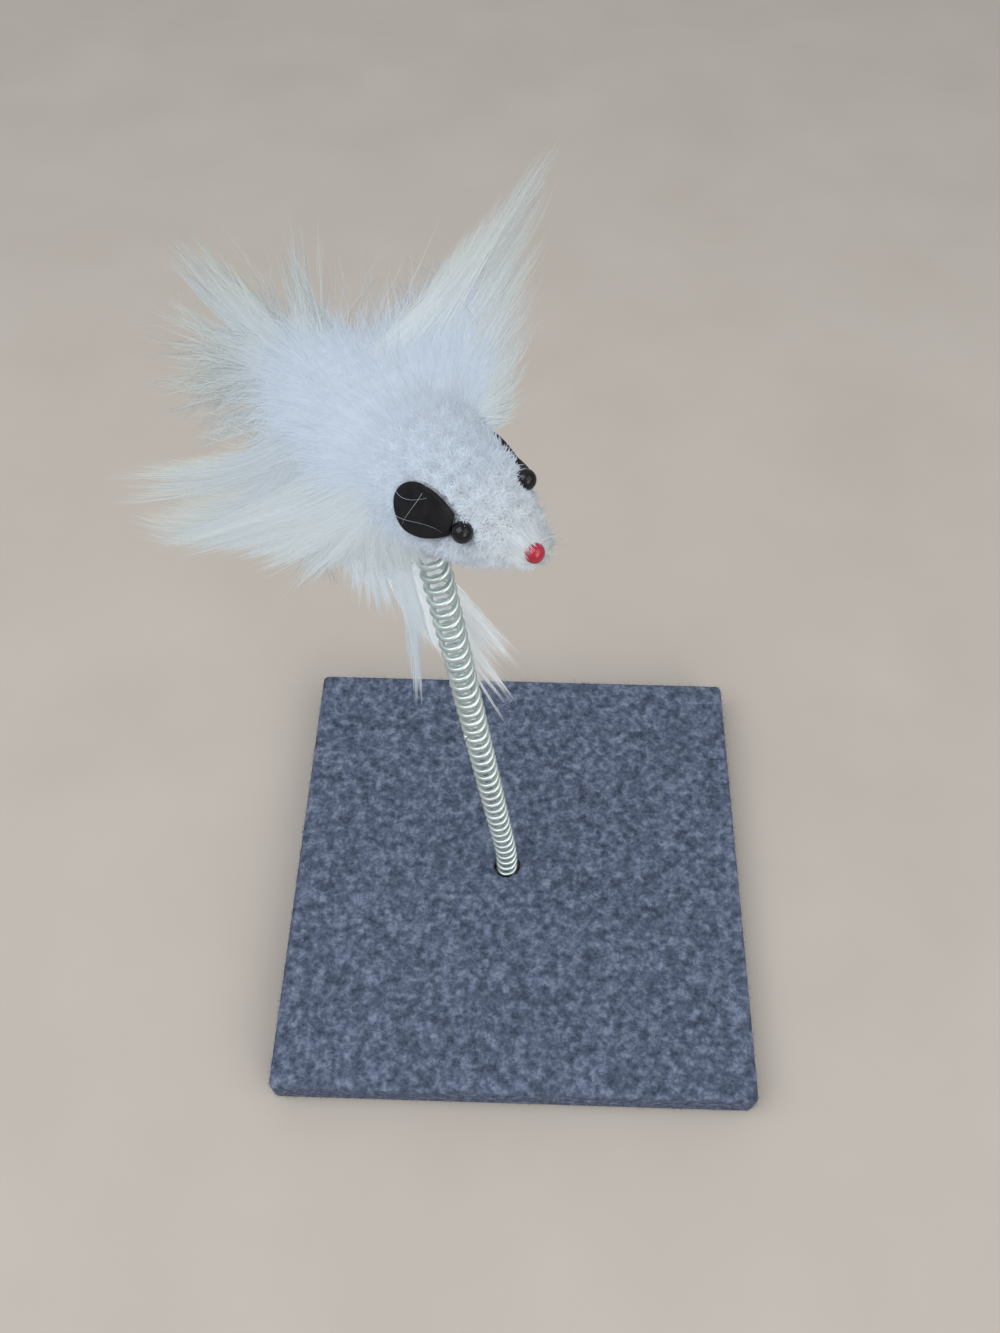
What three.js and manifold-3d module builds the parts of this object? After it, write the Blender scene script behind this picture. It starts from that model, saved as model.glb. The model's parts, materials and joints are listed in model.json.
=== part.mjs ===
// A toy mouse of white fur on a coil spring, which stands on a square base covered in carpet.
// Millimetres, +Z up. The origin is the middle of the base's underside, on the surface it stands on.

import * as THREE from 'three';
import { mergeVertices } from 'three/addons/utils/BufferGeometryUtils.js';
import Module from 'manifold-3d';

const wasm = await Module();
wasm.setup();

// Clearance between pieces that touch
const FIT = 0.3;

// Base: a board with carpet folded over it and a closing sheet underneath
const BASE_SIDE = 120;
const CORNER_RADIUS = 2;
const CARPET_THICKNESS = 1.8;
const CARPET_EDGE_ROUND = 0.8;
const CARPET_HOLE_RADIUS = 4.3;
const FLAP_WIDTH = 18;
const BOARD_THICKNESS = 6;
const SHEET_THICKNESS = 0.7;
const SHEET_INSET = 3;
const HOLE_X = -3;
const HOLE_Y = 0;

// Staples that hold the folded carpet to the board
const STAPLE_WIDTH = 10;
const STAPLE_WIRE = 0.7;
const STAPLE_LEG = 5;
const STAPLE_SPACING = 56;

// Screw and washer that hold the foot of the spring
const WASHER_RADIUS = 5.5;
const WASHER_THICKNESS = 0.8;
const SCREW_HEAD_RADIUS = 3;
const SCREW_HEAD_HEIGHT = 1.2;
const SCREW_SLOT_WIDTH = 0.8;
const SCREW_SLOT_DEPTH = 0.5;
const SCREW_GRIP = 4.2;
const SCREW_POINT = 1.2;

// Spring
const WIRE = 1.25;
const SPRING_DIAMETER = 5.9;
const COIL_PITCH = 3.65;
const WIRE_END_BEND = 1.2;
const SPRING_PLAY = 0.6;
const SPRING_CORE_PLAY = 0.5;
const LEAN = THREE.MathUtils.degToRad(6.2);
const LEAN_TOWARDS = THREE.MathUtils.degToRad(194);
const LEAN_BEND_LENGTH = 14;

// Mouse: its own axes are +X forward, +Y to its left and +Z along the spring
const MOUSE_HEIGHT = 163;
const MOUSE_FACING = THREE.MathUtils.degToRad(-45.4);
const RUMP = 30;
const BODY_MIDDLE = 10;
const BODY_RADIUS = 9.8;
const CHEST_RADIUS = 10.3;
const NECK = 6;
const NECK_RADIUS = 9.9;
const EYE_FORWARD = 20.4;
const FACE_RADIUS = 7;
const SNOUT = 30;
const SNOUT_RADIUS = 3.9;
const COAT_WALL = 2.8;
const RUMP_WALL = 3;
const COAT_OPENING = 1;
const SOCKET_DROP = 2.5;
const PEG_GRIP = 6.5;
const PEG_SEAT = 5;

// Beads of the face and the ears beside them
const EYE_RADIUS = 1.6;
const NOSE_RADIUS = 1.5;
const BEAD_STAND = 0.45;
const NOSE_STAND = 0.2;
const SHANK_RADIUS = 0.45;
const SHANK_LENGTH = 3.6;
const LEFT_EYE_ANGLE = THREE.MathUtils.degToRad(38);
const RIGHT_EYE_ANGLE = THREE.MathUtils.degToRad(33);
const LEFT_EAR_ANGLE = THREE.MathUtils.degToRad(23);
const RIGHT_EAR_ANGLE = THREE.MathUtils.degToRad(37.5);
const NOSE_RISE = THREE.MathUtils.degToRad(35);
const NOSE_TURN = THREE.MathUtils.degToRad(-20);
const EAR_LENGTH = 10.2;
const EAR_WIDTH = 7.4;
const EAR_THICKNESS = 0.8;
const EAR_STAND = 0.8;
const LEFT_EAR_FLARE = THREE.MathUtils.degToRad(11);
const RIGHT_EAR_FLARE = THREE.MathUtils.degToRad(8);
const EAR_DROOP = THREE.MathUtils.degToRad(8);
const EAR_TIP_SHARE = 0.5;
const EAR_TIP_SWELL = 1.7;
const EAR_WIDEST_SHARE = 0.58;

// Lengths and girths of the coat's locks
const LEFT_LOCK = 47.5;
const RIGHT_LOCK = 39;
const REAR_LOCK = 34.5;
const BACK_LOCK = 26.5;
const FRONT_BELLY_LOCK = 64;
const REAR_BELLY_LOCK = 50;
const WIDE_LOCK_GIRTH = 8;
const BELLY_LOCK_GIRTH = 5;
const NARROW_LOCK_GIRTH = 4.5;

// Each lock's root, as shares of the rump's distance along the body and of the body's radius to the left
// and up, and the way it points: a heading turned left from straight ahead and a rise, in degrees
const LOCKS = [
  {
    name: 'lock_left', root: [-0.26, 0, 0], heading: 95, rise: 27,
    length: LEFT_LOCK, girth: WIDE_LOCK_GIRTH,
  },
  {
    name: 'lock_right', root: [-0.36, -0.15, -0.2], heading: -122, rise: -3,
    length: RIGHT_LOCK, girth: WIDE_LOCK_GIRTH,
  },
  {
    name: 'lock_rear', root: [-0.67, 0, 0], heading: -175, rise: 26,
    length: REAR_LOCK, girth: WIDE_LOCK_GIRTH,
  },
  {
    name: 'lock_back', root: [-0.57, 0, 0], heading: 141, rise: 50,
    length: BACK_LOCK, girth: NARROW_LOCK_GIRTH,
  },
  {
    name: 'lock_belly_front', root: [-0.3, 0.1, -0.45], heading: 37, rise: -75,
    length: FRONT_BELLY_LOCK, girth: BELLY_LOCK_GIRTH,
  },
  {
    name: 'lock_belly_rear', root: [-0.3, -0.35, -0.4], heading: -54, rise: -72,
    length: REAR_BELLY_LOCK, girth: BELLY_LOCK_GIRTH,
  },
];
const LOCK_TIP_RADIUS = 0.6;
const LOCK_TAPER = 1.15;

// Facets
const ROUND_SIDES = 20;
const BEAD_SIDES = 12;
const BEAD_RINGS = 8;
const CORNER_STEPS = 4;
const WIRE_SIDES = 5;
const STEPS_PER_COIL = 8;
const END_BEND_STEPS = 3;
const LOCK_SIDES = 8;
const LOCK_STEPS = 7;

// Heights of the base's layers
const FLAP_BOTTOM = SHEET_THICKNESS + FIT;
const BOARD_BOTTOM = FLAP_BOTTOM + CARPET_THICKNESS + FIT;
const BOARD_TOP = BOARD_BOTTOM + BOARD_THICKNESS;
const CARPET_TOP = BOARD_TOP + FIT + CARPET_THICKNESS;
const BOARD_SIDE = BASE_SIDE - 2 * (CARPET_THICKNESS + FIT);
const BOARD_CORNER_RADIUS = Math.max(CORNER_RADIUS - CARPET_THICKNESS - FIT, FIT);
const WASHER_BOTTOM = BOARD_BOTTOM + SCREW_HEAD_HEIGHT + FIT;
const WASHER_TOP = WASHER_BOTTOM + WASHER_THICKNESS;
const SPRING_FOOT = WASHER_TOP + FIT;

// Sizes that follow the spring
const COIL_RADIUS = (SPRING_DIAMETER - WIRE) / 2;
const SPRING_BORE_RADIUS = SPRING_DIAMETER / 2 + SPRING_PLAY;
const INSIDE_RADIUS = SPRING_DIAMETER / 2 - WIRE - SPRING_CORE_PLAY;
const SPRING_LENGTH = CARPET_TOP - SPRING_FOOT + MOUSE_HEIGHT - SOCKET_DROP - FIT;

// Larger than any piece, for half-space cuts
const FAR = 4 * BASE_SIDE;

// A geometry as a solid that can be joined and cut
function solid(geometry, matrix = new THREE.Matrix4()) {
  const bare = geometry.clone();
  bare.deleteAttribute('normal');
  bare.deleteAttribute('uv');
  bare.applyMatrix4(matrix);
  const merged = mergeVertices(bare);
  const vertProperties = Float32Array.from(merged.attributes.position.array);
  const triVerts = Uint32Array.from(merged.index.array);
  return new wasm.Manifold(new wasm.Mesh({ numProp: 3, vertProperties, triVerts }));
}

function addPiece(parent, name, body, material) {
  const { vertProperties, triVerts } = body.getMesh();
  const geometry = new THREE.BufferGeometry();
  geometry.setAttribute('position', new THREE.BufferAttribute(vertProperties, 3));
  geometry.setIndex(new THREE.BufferAttribute(triVerts, 1));
  geometry.computeVertexNormals();
  const mesh = new THREE.Mesh(geometry, material);
  mesh.name = name;
  parent.add(mesh);
}

function finish(color, roughness, metalness = 0) {
  return new THREE.MeshStandardMaterial({ color, roughness, metalness });
}

// A round rod along Z
function rod(radius, bottom, top, x = 0, y = 0) {
  const geometry = new THREE.CylinderGeometry(radius, radius, top - bottom, ROUND_SIDES);
  geometry.rotateX(Math.PI / 2);
  geometry.translate(x, y, (bottom + top) / 2);
  return solid(geometry);
}

// Everything ahead of a plane square to X, or behind it
function halfSpace(x, ahead) {
  const geometry = new THREE.BoxGeometry(FAR, FAR, FAR);
  geometry.translate(x + (ahead ? FAR / 2 : -FAR / 2), 0, 0);
  return solid(geometry);
}

function roundedSquare(side, radius) {
  const inner = side / 2 - radius;
  const shape = new THREE.Shape();
  [[1, 1], [-1, 1], [-1, -1], [1, -1]].forEach(([x, y], corner) => {
    const start = corner * Math.PI / 2;
    shape.absarc(x * inner, y * inner, radius, start, start + Math.PI / 2);
  });
  return shape;
}

// A square slab with round corners, and edges rounded top and bottom
function slab(side, cornerRadius, bottom, top, edgeRound = 0) {
  const geometry = new THREE.ExtrudeGeometry(roundedSquare(side, cornerRadius), {
    depth: top - bottom - 2 * edgeRound,
    curveSegments: CORNER_STEPS,
    bevelEnabled: edgeRound > 0,
    bevelThickness: edgeRound,
    bevelSize: edgeRound,
    bevelOffset: -edgeRound,
    bevelSegments: 2,
  });
  geometry.translate(0, 0, bottom + edgeRound);
  return solid(geometry);
}

// A closed tube through points, with a radius for each point
function tube(points, radii, sides) {
  const position = [];
  const index = [];
  const last = points.length - 1;
  const normal = new THREE.Vector3(0.6, 0.8, 0);
  points.forEach((point, i) => {
    const before = points[Math.max(i - 1, 0)];
    const after = points[Math.min(i + 1, last)];
    const along = after.clone().sub(before).normalize();
    normal.addScaledVector(along, -normal.dot(along)).normalize();
    const across = along.clone().cross(normal);
    for (let k = 0; k < sides; k++) {
      const turn = 2 * Math.PI * k / sides;
      const corner = point.clone();
      corner.addScaledVector(normal, radii[i] * Math.cos(turn));
      corner.addScaledVector(across, radii[i] * Math.sin(turn));
      position.push(...corner.toArray());
    }
  });
  position.push(...points[0].toArray(), ...points[last].toArray());
  const startCentre = points.length * sides;
  const endCentre = startCentre + 1;
  for (let k = 0; k < sides; k++) {
    const next = (k + 1) % sides;
    for (let i = 0; i < last; i++) {
      const here = i * sides;
      const there = here + sides;
      index.push(here + k, here + next, there + next);
      index.push(here + k, there + next, there + k);
    }
    index.push(startCentre, next, k);
    index.push(endCentre, last * sides + k, last * sides + next);
  }
  const geometry = new THREE.BufferGeometry();
  geometry.setAttribute('position', new THREE.Float32BufferAttribute(position, 3));
  geometry.setIndex(index);
  return geometry;
}

// A staple standing on its crown with its legs up, widened all round by a clearance
function stapleSolid(matrix, clearance) {
  const outer = STAPLE_WIDTH / 2 + clearance;
  const inner = STAPLE_WIDTH / 2 - STAPLE_WIRE - clearance;
  const crownTop = STAPLE_WIRE + clearance;
  const legTop = STAPLE_LEG + clearance;
  const corners = [
    [-outer, -clearance], [outer, -clearance], [outer, legTop], [inner, legTop],
    [inner, crownTop], [-inner, crownTop], [-inner, legTop], [-outer, legTop],
  ];
  const shape = new THREE.Shape(corners.map(([x, y]) => new THREE.Vector2(x, y)));
  const depth = STAPLE_WIRE + 2 * clearance;
  const geometry = new THREE.ExtrudeGeometry(shape, { depth, bevelEnabled: false });
  geometry.translate(0, 0, -depth / 2);
  geometry.rotateX(Math.PI / 2);
  return solid(geometry, matrix);
}

// Two staples along the middle of each flap
function staplePlaces() {
  const places = [];
  const edgeDistance = BASE_SIDE / 2 - (CARPET_THICKNESS + FLAP_WIDTH) / 2;
  for (let side = 0; side < 4; side++) {
    for (const end of [-1, 1]) {
      const place = new THREE.Matrix4().makeRotationZ(side * Math.PI / 2);
      const along = end * STAPLE_SPACING / 2;
      place.multiply(new THREE.Matrix4().makeTranslation(along, edgeDistance, FLAP_BOTTOM));
      places.push(place);
    }
  }
  return places;
}

function addBase(parent) {
  const places = staplePlaces();

  let carpet = slab(BASE_SIDE, CORNER_RADIUS, FLAP_BOTTOM, CARPET_TOP, CARPET_EDGE_ROUND);
  const pocketSide = BOARD_SIDE + 2 * FIT;
  carpet = carpet.subtract(slab(pocketSide, BOARD_CORNER_RADIUS, BOARD_BOTTOM - FIT, BOARD_TOP + FIT));
  const openingSide = BASE_SIDE - 2 * FLAP_WIDTH;
  carpet = carpet.subtract(slab(openingSide, CORNER_RADIUS, -FIT, BOARD_BOTTOM));
  carpet = carpet.subtract(rod(CARPET_HOLE_RADIUS, BOARD_TOP, CARPET_TOP + FIT, HOLE_X, HOLE_Y));

  let board = slab(BOARD_SIDE, BOARD_CORNER_RADIUS, BOARD_BOTTOM, BOARD_TOP);
  board = board.subtract(rod(WASHER_RADIUS + FIT, 0, SPRING_FOOT, HOLE_X, HOLE_Y));
  board = board.subtract(rod(SPRING_BORE_RADIUS, 0, CARPET_TOP, HOLE_X, HOLE_Y));

  places.forEach((place, i) => {
    const room = stapleSolid(place, FIT);
    carpet = carpet.subtract(room);
    board = board.subtract(room);
    addPiece(parent, `staple_${i + 1}`, stapleSolid(place, 0), finish(0xb9bcc0, 0.35, 0.9));
  });
  addPiece(parent, 'carpet_cover', carpet, finish(0x586478, 0.97));
  addPiece(parent, 'base_board', board, finish(0xb48f62, 0.8));

  const sheet = slab(BASE_SIDE - 2 * SHEET_INSET, CORNER_RADIUS, 0, SHEET_THICKNESS);
  addPiece(parent, 'bottom_sheet', sheet, finish(0x2c2e33, 0.95));
}

function addAnchor(parent) {
  let washer = rod(WASHER_RADIUS, WASHER_BOTTOM, WASHER_TOP, HOLE_X, HOLE_Y);
  washer = washer.subtract(rod(INSIDE_RADIUS + FIT, 0, CARPET_TOP, HOLE_X, HOLE_Y));
  addPiece(parent, 'anchor_washer', washer, finish(0xc4c7ca, 0.35, 0.9));

  const headTop = BOARD_BOTTOM + SCREW_HEAD_HEIGHT;
  const shankTop = WASHER_TOP + SCREW_GRIP;
  const profile = [
    [0, BOARD_BOTTOM], [SCREW_HEAD_RADIUS, BOARD_BOTTOM], [SCREW_HEAD_RADIUS, headTop],
    [INSIDE_RADIUS, headTop], [INSIDE_RADIUS, shankTop], [0, shankTop + SCREW_POINT],
  ];
  const geometry = new THREE.LatheGeometry(profile.map(([r, z]) => new THREE.Vector2(r, z)), ROUND_SIDES);
  geometry.rotateX(Math.PI / 2);
  geometry.translate(HOLE_X, HOLE_Y, 0);
  const slot = new THREE.BoxGeometry(3 * SCREW_HEAD_RADIUS, SCREW_SLOT_WIDTH, 2 * SCREW_SLOT_DEPTH);
  slot.translate(HOLE_X, HOLE_Y, BOARD_BOTTOM);
  addPiece(parent, 'anchor_screw', solid(geometry).subtract(solid(slot)), finish(0xc4c7ca, 0.3, 0.9));
}

// The spring's axis at a distance from its foot: straight through the base, then a short bend to the lean
function springAxis(distance) {
  const upright = CARPET_TOP - SPRING_FOOT;
  const bent = THREE.MathUtils.clamp(distance - upright, 0, LEAN_BEND_LENGTH);
  const beyond = Math.max(distance - upright - LEAN_BEND_LENGTH, 0);
  const angle = LEAN * bent / LEAN_BEND_LENGTH;
  const bendRadius = LEAN_BEND_LENGTH / LEAN;
  const outward = bendRadius * (1 - Math.cos(angle)) + beyond * Math.sin(angle);
  const upward = Math.min(distance, upright) + bendRadius * Math.sin(angle) + beyond * Math.cos(angle);
  const side = new THREE.Vector3(Math.cos(LEAN_TOWARDS), Math.sin(LEAN_TOWARDS), 0);
  const point = new THREE.Vector3(HOLE_X, HOLE_Y, SPRING_FOOT + upward).addScaledVector(side, outward);
  const along = new THREE.Vector3(0, 0, Math.cos(angle)).addScaledVector(side, Math.sin(angle));
  const normal = new THREE.Vector3(0, 0, -Math.sin(angle)).addScaledVector(side, Math.cos(angle));
  return { point, along, normal };
}

// The wire's middle line, laid out flat as distance round the coil and rise, then wound on the axis.
// Each end bends along the axis and runs straight for one wire diameter.
function springPoints() {
  const slope = Math.atan2(COIL_PITCH, 2 * Math.PI * COIL_RADIUS);
  const bendRise = WIRE_END_BEND * Math.cos(slope);
  const coilRise = SPRING_LENGTH - 2 * (WIRE + bendRise);
  const steps = Math.round(STEPS_PER_COIL * coilRise / COIL_PITCH);
  const flat = [[0, 0], [0, WIRE]];
  for (let i = 1; i <= END_BEND_STEPS; i++) {
    const turn = (Math.PI / 2 - slope) * i / END_BEND_STEPS;
    flat.push([WIRE_END_BEND * (1 - Math.cos(turn)), WIRE + WIRE_END_BEND * Math.sin(turn)]);
  }
  const [coilStart, coilBottom] = flat[flat.length - 1];
  const coilRun = coilRise / Math.tan(slope);
  for (let i = 1; i <= steps; i++) {
    flat.push([coilStart + coilRun * i / steps, coilBottom + coilRise * i / steps]);
  }
  const [coilEnd, coilTop] = flat[flat.length - 1];
  for (let i = 1; i <= END_BEND_STEPS; i++) {
    const turn = slope + (Math.PI / 2 - slope) * i / END_BEND_STEPS;
    const run = WIRE_END_BEND * (Math.sin(turn) - Math.sin(slope));
    flat.push([coilEnd + run, coilTop + WIRE_END_BEND * (Math.cos(slope) - Math.cos(turn))]);
  }
  flat.push([flat[flat.length - 1][0], SPRING_LENGTH]);
  return flat.map(([run, rise]) => {
    const { point, along, normal } = springAxis(rise);
    const across = along.clone().cross(normal);
    const turn = run / COIL_RADIUS;
    point.addScaledVector(normal, COIL_RADIUS * Math.cos(turn));
    return point.addScaledVector(across, COIL_RADIUS * Math.sin(turn));
  });
}

// The least gap between stretches of the wire that are more than half a coil apart along it
function leastGap(points) {
  const run = [0];
  for (let i = 1; i < points.length; i++) {
    run.push(run[i - 1] + points[i].distanceTo(points[i - 1]));
  }
  let least = Infinity;
  for (let i = 0; i < points.length; i++) {
    for (let j = i + 1; j < points.length; j++) {
      if (run[j] - run[i] > Math.PI * COIL_RADIUS) {
        least = Math.min(least, points[i].distanceTo(points[j]) - WIRE);
      }
    }
  }
  return least;
}

function addSpring(parent) {
  const points = springPoints();
  console.log(`spring: least gap to itself ${leastGap(points).toFixed(2)} mm`);
  const geometry = tube(points, points.map(() => WIRE / 2), WIRE_SIDES);
  addPiece(parent, 'spring', solid(geometry), finish(0xc9d0cf, 0.28, 1));
}

// The mouse's outline as [forward, radius] from the rump to the tip of the snout
function mouseOutline() {
  const outline = [];
  const rumpSteps = 6;
  const snoutSteps = 3;
  const frontSteps = 12;
  for (let i = 0; i < rumpSteps; i++) {
    const turn = Math.PI / 2 * i / rumpSteps;
    outline.push([-BODY_MIDDLE - (RUMP - BODY_MIDDLE) * Math.cos(turn), BODY_RADIUS * Math.sin(turn)]);
  }
  const front = new THREE.SplineCurve([
    new THREE.Vector2(-BODY_MIDDLE, BODY_RADIUS),
    new THREE.Vector2(0, CHEST_RADIUS),
    new THREE.Vector2(NECK, NECK_RADIUS),
    new THREE.Vector2(EYE_FORWARD, FACE_RADIUS),
    new THREE.Vector2(SNOUT - SNOUT_RADIUS, SNOUT_RADIUS),
  ]);
  front.getPoints(frontSteps).forEach((p) => outline.push([p.x, p.y]));
  for (let i = 1; i <= snoutSteps; i++) {
    const turn = Math.PI / 2 * i / snoutSteps;
    const ahead = SNOUT - SNOUT_RADIUS * (1 - Math.sin(turn));
    outline.push([ahead, i < snoutSteps ? SNOUT_RADIUS * Math.cos(turn) : 0]);
  }
  return outline;
}

const OUTLINE = mouseOutline();

function outlineRadius(forward) {
  const i = OUTLINE.findIndex(([x]) => x >= forward);
  const [x0, r0] = OUTLINE[i - 1];
  const [x1, r1] = OUTLINE[i];
  return r0 + (r1 - r0) * (forward - x0) / (x1 - x0);
}

// The mouse's outline turned into a solid, drawn in by a wall and then grown by a clearance
function mouseSolid(sideWall, endWall, clearance) {
  const across = (BODY_RADIUS - sideWall) / BODY_RADIUS;
  const along = (RUMP - BODY_MIDDLE - endWall) / (RUMP - BODY_MIDDLE);
  const last = OUTLINE.length - 1;
  const profile = OUTLINE.map(([x, r], i) => {
    const ahead = (x + BODY_MIDDLE) * along - BODY_MIDDLE;
    if (i === 0 || i === last) {
      return new THREE.Vector2(0, ahead + (i === 0 ? -clearance : clearance));
    }
    return new THREE.Vector2(r * across + clearance, ahead);
  });
  const geometry = new THREE.LatheGeometry(profile, ROUND_SIDES);
  geometry.rotateZ(-Math.PI / 2);
  return solid(geometry);
}

// A bead with a shank that points back along a direction, both widened by a clearance
function beadSolid(centre, outward, radius, clearance) {
  const bead = new THREE.SphereGeometry(radius + clearance, BEAD_SIDES, BEAD_RINGS);
  const shankRadius = SHANK_RADIUS + clearance;
  const shankLength = SHANK_LENGTH + clearance;
  const shank = new THREE.CylinderGeometry(shankRadius, shankRadius, shankLength, BEAD_SIDES);
  shank.translate(0, -shankLength / 2, 0);
  const turn = new THREE.Quaternion().setFromUnitVectors(new THREE.Vector3(0, 1, 0), outward);
  const place = new THREE.Matrix4().makeRotationFromQuaternion(turn);
  place.setPosition(centre);
  return solid(bead, place).add(solid(shank, place));
}

// Straight out from the head's middle line, at an angle above the level of it
function outFromHead(side, angle) {
  return new THREE.Vector3(0, side * Math.cos(angle), Math.sin(angle));
}

function eyeDirection(side) {
  return outFromHead(side, side > 0 ? LEFT_EYE_ANGLE : RIGHT_EYE_ANGLE);
}

// The ears aren't quite alike: the right one is higher and lies closer to the head
function earDirection(side) {
  return outFromHead(side, side > 0 ? LEFT_EAR_ANGLE : RIGHT_EAR_ANGLE);
}

function eyeCentre(side) {
  const reach = outlineRadius(EYE_FORWARD) + BEAD_STAND;
  return eyeDirection(side).multiplyScalar(reach).setX(EYE_FORWARD);
}

// The way an ear lies beside the eye: back along the head, flared out from it and drooping a little
function earBasis(side) {
  const flare = side > 0 ? LEFT_EAR_FLARE : RIGHT_EAR_FLARE;
  const radial = earDirection(side);
  const ahead = new THREE.Vector3(1, 0, 0);
  const down = new THREE.Vector3(0, side * radial.z, -side * radial.y);
  const level = ahead.clone().multiplyScalar(-Math.cos(flare)).addScaledVector(radial, Math.sin(flare));
  const normal = ahead.clone().multiplyScalar(Math.sin(flare)).addScaledVector(radial, Math.cos(flare));
  const along = level.multiplyScalar(Math.cos(EAR_DROOP)).addScaledVector(down, Math.sin(EAR_DROOP));
  return new THREE.Matrix4().makeBasis(along, normal.clone().cross(along), normal);
}

// An egg-shaped plate whose narrow tip lies behind the eye, widened all round by a clearance
function earSolid(side, clearance) {
  const tip = -clearance;
  const end = EAR_LENGTH + clearance;
  const half = EAR_WIDTH / 2 + clearance;
  const tipHalf = EAR_TIP_SHARE * half;
  const swollen = EAR_TIP_SWELL * tipHalf;
  const widest = EAR_WIDEST_SHARE * EAR_LENGTH;
  const swell = widest / 2;
  const rounding = (EAR_LENGTH - widest) / 2;
  const shape = new THREE.Shape();
  shape.moveTo(tip, tipHalf);
  shape.bezierCurveTo(swell / 2, swollen, widest - swell, half, widest, half);
  shape.bezierCurveTo(widest + rounding, half, end, half / 2, end, 0);
  shape.bezierCurveTo(end, -half / 2, widest + rounding, -half, widest, -half);
  shape.bezierCurveTo(widest - swell, -half, swell / 2, -swollen, tip, -tipHalf);
  const depth = EAR_THICKNESS + 2 * clearance;
  const geometry = new THREE.ExtrudeGeometry(shape, { depth, bevelEnabled: false, curveSegments: 5 });
  geometry.translate(EYE_RADIUS + FIT, 0, -clearance);
  const reach = outlineRadius(EYE_FORWARD) + EAR_STAND;
  const root = earDirection(side).multiplyScalar(reach).setX(EYE_FORWARD);
  return solid(geometry, earBasis(side).setPosition(root));
}

// A tapered lock of fur, grown by a clearance
function lockSolid({ root, heading, rise, length, girth }, clearance) {
  const start = new THREE.Vector3(root[0] * RUMP, root[1] * BODY_RADIUS, root[2] * BODY_RADIUS);
  const turn = THREE.MathUtils.degToRad(heading);
  const slope = THREE.MathUtils.degToRad(rise);
  const level = Math.cos(slope);
  const along = new THREE.Vector3(level * Math.cos(turn), level * Math.sin(turn), Math.sin(slope));
  const line = new THREE.LineCurve3(start, start.clone().addScaledVector(along, length));
  const radii = [];
  for (let i = 0; i <= LOCK_STEPS; i++) {
    const left = (1 - i / LOCK_STEPS) ** LOCK_TAPER;
    radii.push(LOCK_TIP_RADIUS + (girth - LOCK_TIP_RADIUS) * left + clearance);
  }
  return solid(tube(line.getPoints(LOCK_STEPS), radii, LOCK_SIDES));
}

function addMouse(parent) {
  const white = 0xf2f2ee;
  const socket = rod(SPRING_BORE_RADIUS, -FAR, -SOCKET_DROP);
  const pegBottom = -SOCKET_DROP - PEG_GRIP;
  const pegTop = -SOCKET_DROP + PEG_SEAT;
  const springRoom = rod(SPRING_DIAMETER / 2 + COAT_OPENING, -FAR, 0);

  let core = mouseSolid(COAT_WALL, RUMP_WALL, 0);
  core = core.subtract(socket).subtract(rod(INSIDE_RADIUS + FIT, pegBottom, pegTop + FIT));
  const hollow = mouseSolid(COAT_WALL, RUMP_WALL, FIT);
  const skin = mouseSolid(0, 0, 0).subtract(hollow);
  let head = skin.subtract(halfSpace(NECK + FIT, false));
  let coat = skin.subtract(halfSpace(NECK, true)).subtract(springRoom);

  const snoutMiddle = new THREE.Vector3(SNOUT - SNOUT_RADIUS, 0, 0);
  const noseLevel = Math.cos(NOSE_RISE);
  const noseDirection = new THREE.Vector3(
    noseLevel * Math.cos(NOSE_TURN), noseLevel * Math.sin(NOSE_TURN), Math.sin(NOSE_RISE),
  );
  const noseCentre = snoutMiddle.addScaledVector(noseDirection, SNOUT_RADIUS + NOSE_STAND);
  const black = 0x0b0b0d;
  const red = 0xb01428;
  const beads = [
    { name: 'eye_left', centre: eyeCentre(1), outward: eyeDirection(1), radius: EYE_RADIUS, color: black },
    { name: 'eye_right', centre: eyeCentre(-1), outward: eyeDirection(-1), radius: EYE_RADIUS, color: black },
    { name: 'nose', centre: noseCentre, outward: noseDirection, radius: NOSE_RADIUS, color: red },
  ];
  for (const { name, centre, outward, radius, color } of beads) {
    const room = beadSolid(centre, outward, radius, FIT);
    head = head.subtract(room);
    core = core.subtract(room);
    addPiece(parent, name, beadSolid(centre, outward, radius, 0), finish(color, 0.12));
  }

  for (const [name, side] of [['ear_left', 1], ['ear_right', -1]]) {
    const room = earSolid(side, FIT);
    head = head.subtract(room);
    coat = coat.subtract(room);
    addPiece(parent, name, earSolid(side, 0), finish(0x17171a, 0.6));
  }

  let taken = mouseSolid(0, 0, FIT).add(springRoom);
  for (const lock of LOCKS) {
    addPiece(parent, lock.name, lockSolid(lock, 0).subtract(taken), finish(white, 0.95));
    taken = taken.add(lockSolid(lock, FIT));
  }

  addPiece(parent, 'spring_peg', rod(INSIDE_RADIUS, pegBottom, pegTop), finish(0xd8c19a, 0.7));
  addPiece(parent, 'mouse_core', core, finish(0xe7e2d4, 0.6));
  addPiece(parent, 'head_cover', head, finish(white, 0.95));
  addPiece(parent, 'fur_coat', coat, finish(white, 0.95));
}

const toy = new THREE.Group();
addBase(toy);
addAnchor(toy);
addSpring(toy);

// The mouse sits on the end of the spring's axis and is turned about it
const seat = springAxis(CARPET_TOP - SPRING_FOOT + MOUSE_HEIGHT);
const mouse = new THREE.Group();
mouse.position.copy(seat.point);
mouse.quaternion.setFromUnitVectors(new THREE.Vector3(0, 0, 1), seat.along);
mouse.rotateZ(MOUSE_FACING);
addMouse(mouse);
toy.add(mouse);

export default toy;
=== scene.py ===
"""The looks of a spring mouse cat teaser: long white fur, a zinc spring and a needle-felt base."""

import json
import math

import bpy
import numpy as np
from mathutils import Matrix, Vector


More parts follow.
